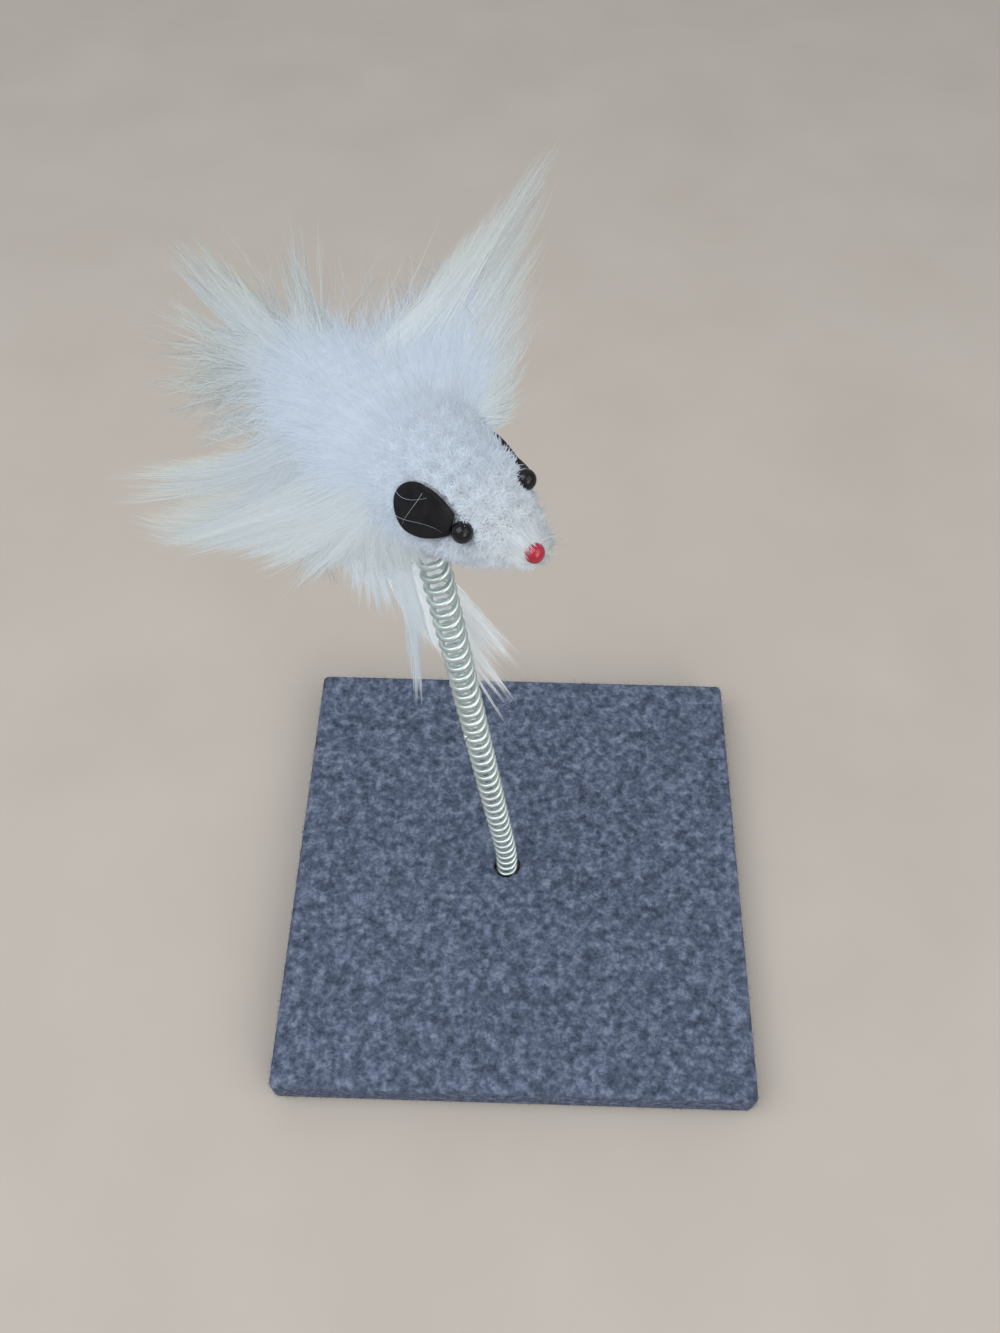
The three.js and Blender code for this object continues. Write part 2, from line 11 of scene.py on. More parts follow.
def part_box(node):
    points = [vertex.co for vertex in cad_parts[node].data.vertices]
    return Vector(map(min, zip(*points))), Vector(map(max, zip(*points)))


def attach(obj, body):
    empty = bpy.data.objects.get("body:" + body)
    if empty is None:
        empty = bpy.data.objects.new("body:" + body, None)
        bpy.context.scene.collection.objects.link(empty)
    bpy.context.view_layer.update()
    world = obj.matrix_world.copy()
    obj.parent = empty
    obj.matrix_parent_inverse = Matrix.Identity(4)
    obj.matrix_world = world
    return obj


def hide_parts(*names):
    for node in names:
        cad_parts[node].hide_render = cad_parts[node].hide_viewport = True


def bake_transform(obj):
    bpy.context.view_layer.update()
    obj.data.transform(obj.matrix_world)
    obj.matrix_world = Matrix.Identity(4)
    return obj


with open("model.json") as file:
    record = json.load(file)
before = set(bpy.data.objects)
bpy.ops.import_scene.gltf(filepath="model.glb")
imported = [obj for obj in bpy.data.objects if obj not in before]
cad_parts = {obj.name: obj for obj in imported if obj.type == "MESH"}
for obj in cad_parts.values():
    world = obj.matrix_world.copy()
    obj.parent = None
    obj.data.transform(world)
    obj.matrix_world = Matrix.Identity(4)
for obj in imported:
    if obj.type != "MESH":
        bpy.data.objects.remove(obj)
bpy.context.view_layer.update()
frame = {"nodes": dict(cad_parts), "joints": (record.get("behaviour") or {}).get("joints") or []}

MM = 0.001
FULL_TURN = 2 * math.pi
PLUMB = np.array([0, 0, 1.0])
LEFT = 1
RIGHT = -1

# Camera fitted to the photograph: millimetres, degrees, and pixels of its 1000 by 1333 frame
CAMERA_AT = (-2.16, -123.1, 296.4)
CAMERA_YAW_PITCH_ROLL = (-1.41, 56.62, 0.32)
FOCAL_PIXELS = 1120
FRAME_HEIGHT = 1333
SENSOR = 36

# The mouse in its own axes: x forward, y to its left, z up along the spring, in millimetres
MOUSE_ABOVE_UPPER_PIVOT = 51
MOUSE_FACING = math.radians(-45.4)
MOUSE_UP = np.array([0, 0, 1.0])
MOUSE_AHEAD = np.array([1.0, 0, 0])
RUMP = 30
BODY_MIDDLE = 10
BODY_RADIUS = 9.8
SHOULDER_RADIUS = 10.3
NECK = 6
NECK_RADIUS = 9.9
EYE_FORWARD = 20.4
FACE_RADIUS = 7
SNOUT = 30
SNOUT_RADIUS = 3.9
SNOUT_START = SNOUT - SNOUT_RADIUS
FRONT_OUTLINE = [(-BODY_MIDDLE, BODY_RADIUS), (0, SHOULDER_RADIUS), (NECK, NECK_RADIUS),
                 (EYE_FORWARD, FACE_RADIUS), (SNOUT_START, SNOUT_RADIUS)]

# Beads and ears
EYE_RADIUS = 1.6
EYE_ANGLES = {LEFT: math.radians(38), RIGHT: math.radians(33)}
EYE_STAND = 0.45
NOSE_RADIUS = 1.5
NOSE_RISE = math.radians(35)
NOSE_TURN = math.radians(-20)
NOSE_STAND = 0.2
SHANK_RADIUS = 0.45
SHANK_LENGTH = 2.2
EAR_LENGTH = 10.65
EAR_WIDTH = 7.4
EAR_THICKNESS = 0.8
EAR_START = 1.45
EAR_STANDS = {LEFT: 0.45, RIGHT: 0.8}
EAR_ANGLES = {LEFT: math.radians(23), RIGHT: math.radians(37.5)}
EAR_FLARES = {LEFT: math.radians(9.5), RIGHT: math.radians(8)}
EAR_DROOP = math.radians(8)
EAR_TIP_SHARE = 0.42
EAR_TIP_SWELL = 1.7
EAR_WIDEST_SHARE = 0.58
EAR_ARCH = 0.4
EAR_CURL = 0.5
EAR_CUP = 0.25

# Spring, with heights measured along it from the top of the carpet
WIRE = 1.25
SPRING_DIAMETER = 5.9
COIL_PITCH = 3.65
LEAN_BEND_LENGTH = 14
HALVES_MEET = 75
SPRING_TOP = 160.2
SPRING_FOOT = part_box("spring")[0].z / MM

# Base
CARPET_LOW, CARPET_HIGH = (np.array(corner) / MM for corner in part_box("carpet_cover"))
CARPET_HALF = (CARPET_HIGH[0] - CARPET_LOW[0]) / 2
CARPET_THICKNESS = 1.8
CARPET_CORNER = 1.4
CARPET_EDGE = 1.2
CARPET_FOLD = 0.8
FLAP = 18
FLAP_CORNER = 3
HOLE = np.array([-3.0, 0.0])
HOLE_RADIUS = 3.5
HOLE_LIP = 0.5
STRAIGHT = CARPET_HIGH[2] - SPRING_FOOT

rng = np.random.default_rng(7)


# Places in the mouse's axes

# Steps of a sequence that fills a square evenly: one over the plastic number and over its square
EVEN_STEPS = (0.7548776662, 0.5698402910)


def to_world(points):
    """Points in the mouse's axes, in millimetres, as points of the frame, in metres."""
    return np.asarray(points) * MM @ MOUSE_TURN.T + MOUSE_AT


def unit(v):
    return v / np.maximum(np.linalg.norm(v, axis=-1, keepdims=True), 1e-9)


PIVOTS = {joint["name"]: np.array(joint["pos_m"]) for joint in frame["joints"]}
PIVOT_LOW = PIVOTS["spring_sway_side"]
PIVOT_HIGH = PIVOTS["spring_sway_front"]
UP = unit(PIVOT_HIGH - PIVOT_LOW)
LEAN = Vector((0, 0, 1)).rotation_difference(Vector(UP)).to_matrix()
MOUSE_AT = PIVOT_HIGH + UP * MOUSE_ABOVE_UPPER_PIVOT * MM
MOUSE_TURN = np.array(LEAN @ Matrix.Rotation(MOUSE_FACING, 3, "Z"))
FRONT_CURVE = np.polyfit(*zip(*FRONT_OUTLINE), len(FRONT_OUTLINE) - 1)


def body_radius(x):
    """The radius of the body and head at a distance forward of the spring."""
    x = np.asarray(x, float)
    share = np.clip((x + BODY_MIDDLE) / (RUMP - BODY_MIDDLE), -1, 0)
    rump = BODY_RADIUS * np.sqrt(1 - share ** 2)
    ahead = np.clip(x - SNOUT_START, 0, SNOUT_RADIUS)
    snout = np.sqrt(SNOUT_RADIUS ** 2 - ahead ** 2)
    front = np.polyval(FRONT_CURVE, np.clip(x, -BODY_MIDDLE, SNOUT_START))
    return np.where(x < -BODY_MIDDLE, rump, np.where(ahead > 0, snout, front))


def on_body(x, turn, lift=0.0):
    """Points of the body's surface and their outward normals. A turn of 0 is left, a quarter turn is up."""
    step = 0.05
    steepest = 6
    slope = (body_radius(x + step) - body_radius(x - step)) / (2 * step)
    out = np.stack([np.zeros_like(x), np.cos(turn), np.sin(turn)], -1)
    normal = out.copy()
    normal[..., 0] = -np.clip(slope, -steepest, steepest)
    normal = unit(normal)
    places = out * body_radius(x)[..., None]
    places[..., 0] = x
    return places + normal * lift, normal


def roots(count, rear, front):
    """Places spread evenly over the body between two stations, as their stations and turns."""
    tip_allowance = 0.8
    stations = np.linspace(rear, front, 400)
    heap = np.cumsum(body_radius(stations) + tip_allowance)
    i = np.arange(count)
    along, around = ((0.5 + i * step) % 1 for step in EVEN_STEPS)
    jitter = 0.5 / math.sqrt(count)
    along = np.clip(along + rng.uniform(-jitter, jitter, count), 0, 1)
    x = np.interp(heap[0] + along * (heap[-1] - heap[0]), heap, stations)
    return x, around * FULL_TURN + rng.uniform(-jitter, jitter, count)


# Meshes

def mesh_object(name, places, loops, starts, smooth=True):
    """A mesh from its points, the corners of all faces in turn, and where each face starts."""
    mesh = bpy.data.meshes.new(name)
    mesh.vertices.add(len(places))
    mesh.vertices.foreach_set("co", np.asarray(places, np.float32).ravel())
    mesh.loops.add(len(loops))
    mesh.loops.foreach_set("vertex_index", np.asarray(loops, np.int32))
    mesh.polygons.add(len(starts))
    mesh.polygons.foreach_set("loop_start", np.asarray(starts, np.int32))
    mesh.update(calc_edges=True)
    mesh.polygons.foreach_set("use_smooth", np.full(len(starts), smooth))
    mesh.validate()
    thing = bpy.data.objects.new(name, mesh)
    bpy.context.scene.collection.objects.link(thing)
    return thing


def grid_object(name, grid, caps=True):
    """A mesh over closed rings of points, with flat ends unless they stay open."""
    rows, columns, _ = grid.shape
    index = np.arange(rows * columns).reshape(rows, columns)
    beside = np.roll(index, -1, 1)
    quads = np.stack([index[:-1], beside[:-1], beside[1:], index[1:]], -1).reshape(-1, 4)
    loops = quads.ravel()
    starts = np.arange(len(quads)) * 4
    if caps:
        loops = np.concatenate([loops, index[0][::-1], index[-1]])
        starts = np.append(starts, [len(quads) * 4, len(quads) * 4 + columns])
    return mesh_object(name, grid.reshape(-1, 3), loops, starts)


def dress(thing, material, body, slot, *nodes):
    """Gives a piece its material and body and hides the nodes that it stands for; slot is not used."""
    thing.data.materials.append(material)
    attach(thing, body)
    if nodes:
        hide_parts(*nodes)


def strand_object(name, paths, widths, tints, facing=None):
    """Hairs as three-sided tubes that taper to a point.

    paths holds each hair's points, widths its width at the root and tints its colour at each point.
    facing, if given, is the way each point of a hair is shaded, so that a coat shades as one soft mass.
    """
    thinning = 0.75
    thinning_power = 1.6
    count, steps, _ = paths.shape
    rings = steps - 1
    along = unit(np.gradient(paths, axis=1))
    whole = unit(paths[:, -1:] - paths[:, :1])
    side = rng.normal(size=(count, 1, 3))
    side = unit(side - whole * (side * whole).sum(-1, keepdims=True))
    side = unit(side - along * (side * along).sum(-1, keepdims=True))
    across = np.cross(along, side)
    taper = 1 - thinning * (np.arange(rings) / rings) ** thinning_power
    radius = widths[:, None] / 2 * taper[None]
    turn = FULL_TURN * np.arange(3)[:, None] / 3
    reach = np.cos(turn) * side[:, :rings, None] + np.sin(turn) * across[:, :rings, None]
    tubes = paths[:, :rings, None] + reach * radius[..., None, None]
    places = np.concatenate([tubes.reshape(count, rings * 3, 3), paths[:, -1:]], 1)
    colours = np.concatenate([np.repeat(tints[:, :rings], 3, 1), tints[:, -1:]], 1)

    faces = []
    for ring in range(rings):
        for k in range(3):
            a = ring * 3 + k
            b = ring * 3 + (k + 1) % 3
            faces.append([a, b, rings * 3] if ring == rings - 1 else [a, b, b + 3, a + 3])
    faces.append([0, 2, 1])
    pattern = np.concatenate(faces)
    begins = np.cumsum([0] + [len(face) for face in faces[:-1]])
    hair = np.arange(count)[:, None]
    loops = (pattern + hair * (rings * 3 + 1)).ravel()
    starts = (begins + hair * len(pattern)).ravel()
    thing = mesh_object(name, places.reshape(-1, 3), loops, starts)
    tint = thing.data.color_attributes.new("tint", "FLOAT_COLOR", "POINT")
    rgba = np.insert(colours, 3, 1, axis=-1)
    tint.data.foreach_set("color", rgba.astype(np.float32).ravel())
    if facing is not None:
        shade = np.concatenate([np.repeat(facing[:, :rings], 3, 1), facing[:, -1:]], 1)
        thing.data.normals_split_custom_set_from_vertices(shade.reshape(-1, 3).tolist())
    return thing


def bezier(a, b, c, d, steps):
    t = np.linspace(0, 1, steps)[None, :, None]
    a, b, c, d = (p[:, None, :] for p in (a, b, c, d))
    return a * (1 - t) ** 3 + 3 * b * t * (1 - t) ** 2 + 3 * c * t ** 2 * (1 - t) + d * t ** 3


def waved(paths, depth, together=False):
    """Adds a wave that grows from root to tip: the same to all hairs or to each its own."""
    count = 1 if together else len(paths)
    t = np.linspace(0, 1, paths.shape[1])[None, :, None]
    swing = unit(rng.normal(size=(count, 1, 3)))
    phase = rng.uniform(0, FULL_TURN, (count, 1, 1))
    turns = rng.uniform(0.6, 1.5, (count, 1, 1))
    size = depth * rng.uniform(0.2, 1.0, (count, 1, 1))
    return paths + swing * size * t * np.sin(phase + FULL_TURN * turns * t)


# Materials

def new_material(name, **values):
    """A material, its node tree and its shader, with the shader's own values set."""
    material = bpy.data.materials.new(name)
    material.use_nodes = True
    tree = material.node_tree
    shader = tree.nodes["Principled BSDF"]
    for key, value in values.items():
        shader.inputs[key.replace("_", " ")].default_value = value
    return material, tree, shader


def node(tree, kind, **values):
    made = tree.nodes.new(kind)
    for key, value in values.items():
        if key in made.inputs:
            made.inputs[key].default_value = value
        else:
            setattr(made, key, value)
    return made


def noise(tree, scale, detail=3.0, rough=0.5, stretch=(1, 1, 1)):
    """Noise over the object's own metres, at a scale given per millimetre."""
    where = node(tree, "ShaderNodeTexCoord")
    mapping = node(tree, "ShaderNodeMapping", Scale=stretch)
    made = node(tree, "ShaderNodeTexNoise", Scale=scale / MM, Detail=detail, Roughness=rough)
    tree.links.new(where.outputs["Object"], mapping.inputs["Vector"])
    tree.links.new(mapping.outputs["Vector"], made.inputs["Vector"])
    return made.outputs["Fac"]


def colour_by(tree, shader, factor, stops):
    """Colours a shader by a factor, through a ramp of (place, colour) stops."""
    ramp = node(tree, "ShaderNodeValToRGB")
    elements = ramp.color_ramp.elements
    for _ in stops[2:]:
        elements.new(0.5)
    for element, (place, colour) in zip(elements, stops):
        element.position = place
        element.color = (*colour, 1)
    tree.links.new(factor, ramp.inputs["Fac"])
    tree.links.new(ramp.outputs["Color"], shader.inputs["Base Color"])


def bump(tree, shader, height, strength, distance):
    made = node(tree, "ShaderNodeBump", Strength=strength, Distance=distance)
    tree.links.new(height, made.inputs["Height"])
    tree.links.new(made.outputs["Normal"], shader.inputs["Normal"])


def mottled(name, scale, dark, light, detail=3.0, bump_strength=0.0, bump_depth=0.0, places=(0.3, 0.7),
            stretch=(1, 1, 1), **values):
    """A material that goes from dark to light with noise, with a bump from the same noise."""
    material, tree, shader = new_material(name, **values)
    pattern = noise(tree, scale, detail, stretch=stretch)
    colour_by(tree, shader, pattern, [(places[0], dark), (places[1], light)])
    if bump_strength:
        bump(tree, shader, pattern, bump_strength, bump_depth)
    return material


def tinted(name, **values):
    """A material that takes its colour from the hairs' own tints."""
    material, tree, shader = new_material(name, **values)
    tint = node(tree, "ShaderNodeAttribute", attribute_name="tint")
    tree.links.new(tint.outputs["Color"], shader.inputs["Base Color"])
    return material


# The fur's whites and cream are greyer and bluer than the fur itself: the grey is painted shade that stands
# in for shadows among the hairs, which cast none, and part of the blue is the cool sky light painted in.
WHITE = np.array([0.515, 0.58, 0.66])
# A greyer white that the coat's hairs take low on the body: painted shade under the body.
UNDERSIDE_PAINTED_SHADE = np.array([0.50, 0.535, 0.55])
SNOUT_WHITE = np.array([0.55, 0.575, 0.58])
CREAM = np.array([0.56, 0.55, 0.475])
LOCK_WHITE = np.array([0.54, 0.59, 0.615])
# Painted light and shade: each lock's white is set lighter or darker lock by lock, and the belly locks under
# the body are painted brighter to make up for its shadow.
LOCK_WHITES_PAINTED_LIGHT = {"lock_left": (0.60, 0.66, 0.70), "lock_right": (0.48, 0.53, 0.565),
               "lock_rear": (0.51, 0.56, 0.585), "lock_belly_front": (0.90, 0.94, 0.97),
               "lock_belly_rear": (0.60, 0.66, 0.71)}
FUR = tinted("white_fur", Roughness=0.65, Specular_IOR_Level=0.2)
FELT_HAIR = tinted("felt_hair", Roughness=0.85, Specular_IOR_Level=0.15)


# Fur

USUAL_TUFT = {"foot": None, "rise": 0, "breadth": 4.5, "thin": 0.62, "gather": 0.8, "spread": 0.8, "front": 0,
              "ahead": 0}


def tuft(edge, hairs, clumps, dense, ragged, wave, sweep=(0, 0, 0), **others):
    """A tuft of fur, whose hairs gather in clumps with their tips along an edge.

    dense is the share of the way to the edge that the fur is dense, breadth how far round a clump's root it
    stays so, ragged how much shorter some clumps are and thin how much shorter some hairs. foot, a station
    and a turn in degrees, is where all of the tuft grows from. Without it the roots lie nearest to the tips,
    higher by rise and further forward by ahead. sweep is how far the hairs bow out, gather how closely a
    clump's hairs join, spread how far clumps stray from the edge and front how much the hairs are shaded as
    facing forward.
    """
    return {**USUAL_TUFT, **others, "edge": np.array(edge, float), "sweep": np.array(sweep, float),
            "hairs": hairs, "clumps": clumps, "dense": dense, "ragged": ragged, "wave": wave}


# The tufts of each lock, by the node it stands for, and the coat's hem on the right flank
LOCKS = {
    "lock_left": [
        tuft([(-9.5, 41, 23.5), (-12, 48.5, 24.5), (-10, 47, 21)], 1500, 30, 0.5, 0.15, 1),
        tuft([(-12.5, 29, 17.5), (-12, 36, 20), (-11.5, 42, 22)], 800, 16, 0.3, 0.2, 0.8, foot=(-11, 62),
             breadth=3, gather=0.3, sweep=(3, 0, -2)),
        tuft([(-11.4, 45.6, 20.2), (-8.4, 41.6, 14.8), (-4, 34.9, 6.2), (-0.2, 25.8, 2.1)], 1700, 60, 0.45,
             0.3, 1, gather=0.35, spread=0.6, ahead=2, sweep=(1.3, 0.7, -0.4)),
        tuft([(-0.4, 25.5, 2.1), (4.5, 20, 1.6), (7.6, 16.6, 0.6)], 900, 30, 0.6, 0.2, 0.6, thin=0.4,
             gather=0.3, ahead=2, sweep=(0.8, 0.4, -0.4)),
        tuft([(-2, 44, 5), (-14, 38, 24), (-20, 28, 20)], 12, 6, 0, 0.15, 3),
    ],
    "lock_right": [
        tuft([(-34.6, -32.1, -3.4), (-35.6, -35.6, -6.4), (-35.1, -36.6, -7.4)], 900, 18, 0.4, 0.2, 1,
             foot=(-17, -165), sweep=(5, -3, 1)),
        tuft([(-33.5, -36.5, -9), (-32, -37, -11), (-28.5, -36, -13)], 1500, 26, 0.5, 0.2, 1,
             foot=(-17, -160), sweep=(9, -5, -3)),
    ],
    "lock_rear": [
        tuft([(-46, -0.5, 16.5), (-50.5, -1.5, 17.5), (-56, -3.5, 16.5), (-54, -5.5, 12.5)], 1600, 22, 0.28,
             0.22, 1.4, breadth=3, spread=1.3),
        tuft([(-50, -9.5, 10), (-46, -12, 6), (-47, -17, 3.5), (-45, -21, 0.5), (-40, -20, -1),
              (-35, -22.5, -3.5), (-27, -19.5, -4.5)], 1500, 75, 0.1, 0.5, 4.5, breadth=3, thin=0.35,
             gather=0.9, spread=2.2),
        tuft([(-43, 5, 17), (-36, 2.5, 16)], 130, 12, 0.1, 0.4, 3, gather=0.9, spread=1.5),
        tuft([(-50, 6.5, 25), (-55, -8, 14), (-50, -22, 2)], 36, 16, 0, 0.3, 6, spread=2),
    ],
    "lock_back": [
        tuft([(-33, 12.5, 22.5), (-32.5, 8, 20.5), (-34, 5, 19)], 300, 12, 0.1, 0.35, 2.4, breadth=3,
             gather=0.9, spread=1.2),
        tuft([(-30, 12, 24), (-20, 24, 17)], 36, 18, 0, 0.5, 4, spread=2),
    ],
    "lock_belly_front": [
        tuft([(-6.2, -0.6, -62), (-4.5, 2, -70), (-2, 4.7, -80), (1.2, 7.8, -82), (4.6, 12.6, -74),
              (3, 10.8, -66)], 4600, 110, 0.5, 0.2, 1.3, foot=(-13, -122), thin=0.4, gather=0.25, spread=1,
             front=0.9, sweep=(0, 0, -3)),
        tuft([(1.6, 9.1, -95), (2.6, 10.4, -89), (-1, 5.8, -81)], 130, 8, 0, 0.08, 1.4, foot=(-13, -122),
             thin=0.1, gather=0.9, front=0.9),
    ],
    "lock_belly_rear": [
        tuft([(-10, -15, -34.5), (-6.5, -11.5, -38.5), (-4.5, -9.3, -41), (-3.3, -7.8, -43)], 1500, 26, 0.5,
             0.3, 1, foot=(-8, -122), gather=0.6, thin=0.5, front=0.5),
        tuft([(-3, -7.4, -46), (-1.6, -5.8, -52), (-0.6, -4.4, -51), (0.2, -4.4, -45)], 2200, 18, 0.6, 0.15,
             0.6, foot=(-4, -112), gather=0.3, thin=0.45, spread=0.5, front=0.5),
        tuft([(-4.7, -9.5, -74), (-4.4, -9.2, -76)], 160, 2, 0, 0.04, 0.6, foot=(-3, -110), thin=0.35,
             gather=0.9, spread=0.2, sweep=(1.2, 1.5, -2), front=0.5),
    ],
}
HEM = tuft([(-28, -36.5, -12), (-19.3, -31.5, -11.1), (-11.2, -28.2, -10.7), (-4.3, -23.7, -12.2),
            (0.6, -18.4, -13.6), (4.8, -13.3, -14.6), (6.1, -8.9, -17.3), (6.4, -5.2, -19.5),
            (8, -3.2, -17.5)], 3600, 60, 0.7, 0.1, 0.6, rise=7, thin=0.3, gather=0.4, ahead=16)
TUFTS = [t for lock in LOCKS.values() for t in lock] + [HEM]

# Hairs before those in an ear's way are left out, points to a hair, and widths in millimetres
COAT_HAIRS = 6500
COLLAR_HAIRS = 5200
PILE_HAIRS = 18500
FUZZ_HAIRS = 1300
FRINGE_HAIRS = 420
ROOT_POOL = 4000
LOCK_STEPS = 8
COAT_STEPS = 5
EAR_HAIR_STEPS = 9
COAT_WIDTHS = (0.07, 0.13)
LOCK_WIDTHS = (0.09, 0.15)
BELLY_WIDTHS = (0.13, 0.22)
PILE_WIDTHS = (0.26, 0.40)
FUZZ_WIDTHS = (0.06, 0.10)
FRINGE_WIDTHS = (0.10, 0.18)
EAR_HAIR_WIDTH = 0.06

# How creamy the tips of hairs are, and the share of a hair's length where the cream starts
COAT_CREAM = 0.25
LOCK_CREAM = 0.9
BELLY_CREAM = 0.2
COLLAR_CREAM = 0.1
PILE_CREAM = 0.05
EAR_HAIR_CREAM = 0.3
CREAM_START = 0.45

# How far round the spring's axis, and from how far below the mouse's middle, hair is kept away
SPRING_CLEAR = 4.4
CLEAR_BELOW = -9


def hair_tints(count, steps, cream, white=WHITE, streak=None):
    """White that turns creamy towards the tips, a little different in each hair or strand."""
    t = np.linspace(0, 1, steps)[None, :, None]
    if streak is None:
        streak = rng.random(count)
    streak = streak[:, None, None]
    share = np.clip((t - CREAM_START) / (1 - CREAM_START), 0, 1) * cream * (0.4 + 0.6 * streak)
    shade = rng.uniform(0.95, 1.0, (count, 1, 1)) + 0.12 * (streak - 0.5) * t
    return (white * (1 - share) + CREAM * share) * shade


def lock_anchor(lock, tip):
    """Where a clump leaves the coat: at the tuft's foot or nearest to the clump's tip."""
    place = tip * [0.75, 1, 1] + [lock["ahead"], 0, lock["rise"]]
    x = np.clip(place[0], -RUMP + 1, NECK - 3)
    turn = math.atan2(place[2], place[1])
    if lock["foot"]:
        x, turn = lock["foot"][0], math.radians(lock["foot"][1])
    return on_body(np.array([x], float), np.array([turn]))[0][0]


def find_clumps(lock):
    """The tip of each clump of a tuft and where the clump leaves the coat."""
    edge = lock["edge"]
    run = np.concatenate([[0], np.cumsum(np.linalg.norm(np.diff(edge, axis=0), axis=-1))])
    count = lock["clumps"]
    places = (np.arange(count) + rng.uniform(0.2, 0.8, count)) / count * run[-1]
    tips = np.stack([np.interp(places, run, edge[:, k]) for k in range(3)], -1)
    tips += lock["spread"] * rng.normal(size=tips.shape)
    anchors = np.array([lock_anchor(lock, tip) for tip in tips])
    shorter = 1 - lock["ragged"] * rng.random((count, 1)) ** 1.5
    lock["found"] = list(zip(anchors + (tips - anchors) * shorter, anchors))


def lock_hairs(lock, tip, anchor):
    """Hairs that gather from round a clump's foot towards its tip, and the way they face."""
    scatter = 2.4
    far_root = 40
    highest_lift = 3
    sunk = 0.5
    hairs = lock["hairs"] // lock["clumps"]
    stretch = tip - anchor
    axis = unit(stretch)
    place, normal = on_body(*roots(ROOT_POOL, -RUMP + 0.2, NECK - 1.5))
    away = np.linalg.norm(place - anchor, axis=-1)
    chosen = np.argsort(away + rng.exponential(scatter, len(away)))[:hairs]
    place, normal, away = place[chosen], normal[chosen], away[chosen]
    share = 1 - lock["thin"] * rng.random(hairs) ** 0.8
    share *= np.clip(1.12 - away / far_root, 0.5, 1)
    share = share[:, None]
    aside = place - anchor
    aside -= axis * (aside @ axis)[:, None]
    loose = 1 - lock["gather"]
    end = anchor + stretch * share + aside * 0.7 * loose * (1 - share) ** 1.3
    end += rng.normal(size=(hairs, 3)) * (0.1 + 0.25 * loose + (0.3 + 0.6 * loose) * (1 - share))
    length = np.linalg.norm(end - place, axis=-1, keepdims=True)
    bow = lock["sweep"] * share
    lift = place + normal * np.minimum(0.12 * length, highest_lift) + axis * 0.15 * length + bow
    lift -= aside * (0.25 + 0.4 * lock["gather"])
    bend = end - axis * 0.4 * length + bow
    paths = bezier(place - normal * sunk, lift, bend, end, LOCK_STEPS)
    off_axis = paths - anchor
    off_axis = off_axis - axis * (off_axis @ axis)[..., None]
    shade = 0.6 * unit(off_axis) + normal[:, None] * 0.5 + MOUSE_UP * 1.4 + MOUSE_AHEAD * lock["front"]
    return paths, unit(shade)


def pull_at(place, dense=True):
    """How far fur is drawn out towards the tips of the locks near a place on the body."""
    total = np.zeros_like(place)
    weight = np.zeros(place.shape[:-1])
    strongest = np.zeros(place.shape[:-1])
    for lock in TUFTS:
        if not lock["dense"]:
            continue
        share = lock["dense"] if dense else 1
        bow = lock["sweep"] * 3 * share * (1 - share)
        for tip, anchor in lock["found"]:
            near = np.exp(-np.linalg.norm(place - anchor, axis=-1) / lock["breadth"])
            total += near[..., None] * ((tip - anchor) * share + bow)
            weight += near
            strongest = np.maximum(strongest, near)
    return total * (strongest / weight)[..., None]


def fur_shell():
    """The dense fur's surface as a grid of points over the body, and its outward normals."""
    rows, columns = 170, 220
    fade_length = 7
    lump_depth = 0.25
    x = -BODY_MIDDLE - (RUMP - BODY_MIDDLE) * np.cos(np.linspace(0, math.pi / 2, rows // 2))
    x = np.concatenate([x, np.linspace(-BODY_MIDDLE, NECK, rows // 2 + 1)[1:]])
    turn = np.linspace(0, FULL_TURN, columns, endpoint=False)
    stations, turns = np.meshgrid(np.clip(x, -RUMP + 0.02, None), turn, indexing="ij")
    place, normal = on_body(stations, turns)
    depth = np.interp(stations, [-RUMP, -4, NECK], [0.8, 0.8, -0.7])
    fade = np.clip((NECK - stations) / fade_length, 0, 1)[..., None]
    lumps = np.sin(place[..., 0] * 1.3 + 2 * np.sin(turns * 3)) * np.sin(turns * 9 + place[..., 0] * 0.6)
    grid = place + normal * (depth + lump_depth * lumps * fade[..., 0])[..., None]
    pull = pull_at(place)
    inward = np.minimum((pull * normal).sum(-1, keepdims=True), 0)
    grid = clear_of_spring(grid + (pull - normal * inward) * fade)
    down = np.gradient(grid, axis=0)
    across = np.roll(grid, -1, 1) - np.roll(grid, 1, 1)
    return grid, unit(np.cross(down, across)) * -1


def side_way(side, angle):
    """The way out from the head on one side, at an angle above the level."""
    return np.array([0, side * math.cos(angle), math.sin(angle)])


def ear_axes(side):
    """An ear's root and the ways along, across and out from it, in the mouse's axes."""
    angle = EAR_ANGLES[side]
    flare = EAR_FLARES[side]
    out = side_way(side, angle)
    down = np.array([0, side * math.sin(angle), -math.cos(angle)])
    level = out * math.sin(flare) - MOUSE_AHEAD * math.cos(flare)
    normal = out * math.cos(flare) + MOUSE_AHEAD * math.sin(flare)
    back = level * math.cos(EAR_DROOP) + down * math.sin(EAR_DROOP)
    root = out * (FACE_RADIUS + EAR_STANDS[side]) + MOUSE_AHEAD * EYE_FORWARD + back * EAR_START
    return root, back, np.cross(normal, back), normal


def ear_outline(steps):
    """Half of the ear's outline from its narrow tip to its round end, as (along, half width)."""
    half = EAR_WIDTH / 2
    tip = EAR_TIP_SHARE * half
    widest = EAR_WIDEST_SHARE * EAR_LENGTH
    rounding = (EAR_LENGTH - widest) / 2
    first = [(0, tip), (widest / 4, EAR_TIP_SWELL * tip), (widest / 2, half), (widest, half)]
    second = [(widest, half), (widest + rounding, half), (EAR_LENGTH, half / 2), (EAR_LENGTH, 0)]
    curves = [bezier(*(np.array([p], float) for p in c), steps)[0] for c in (first, second)]
    return np.concatenate([curves[0], curves[1][1:]])


EAR_OUTLINE = ear_outline(14)


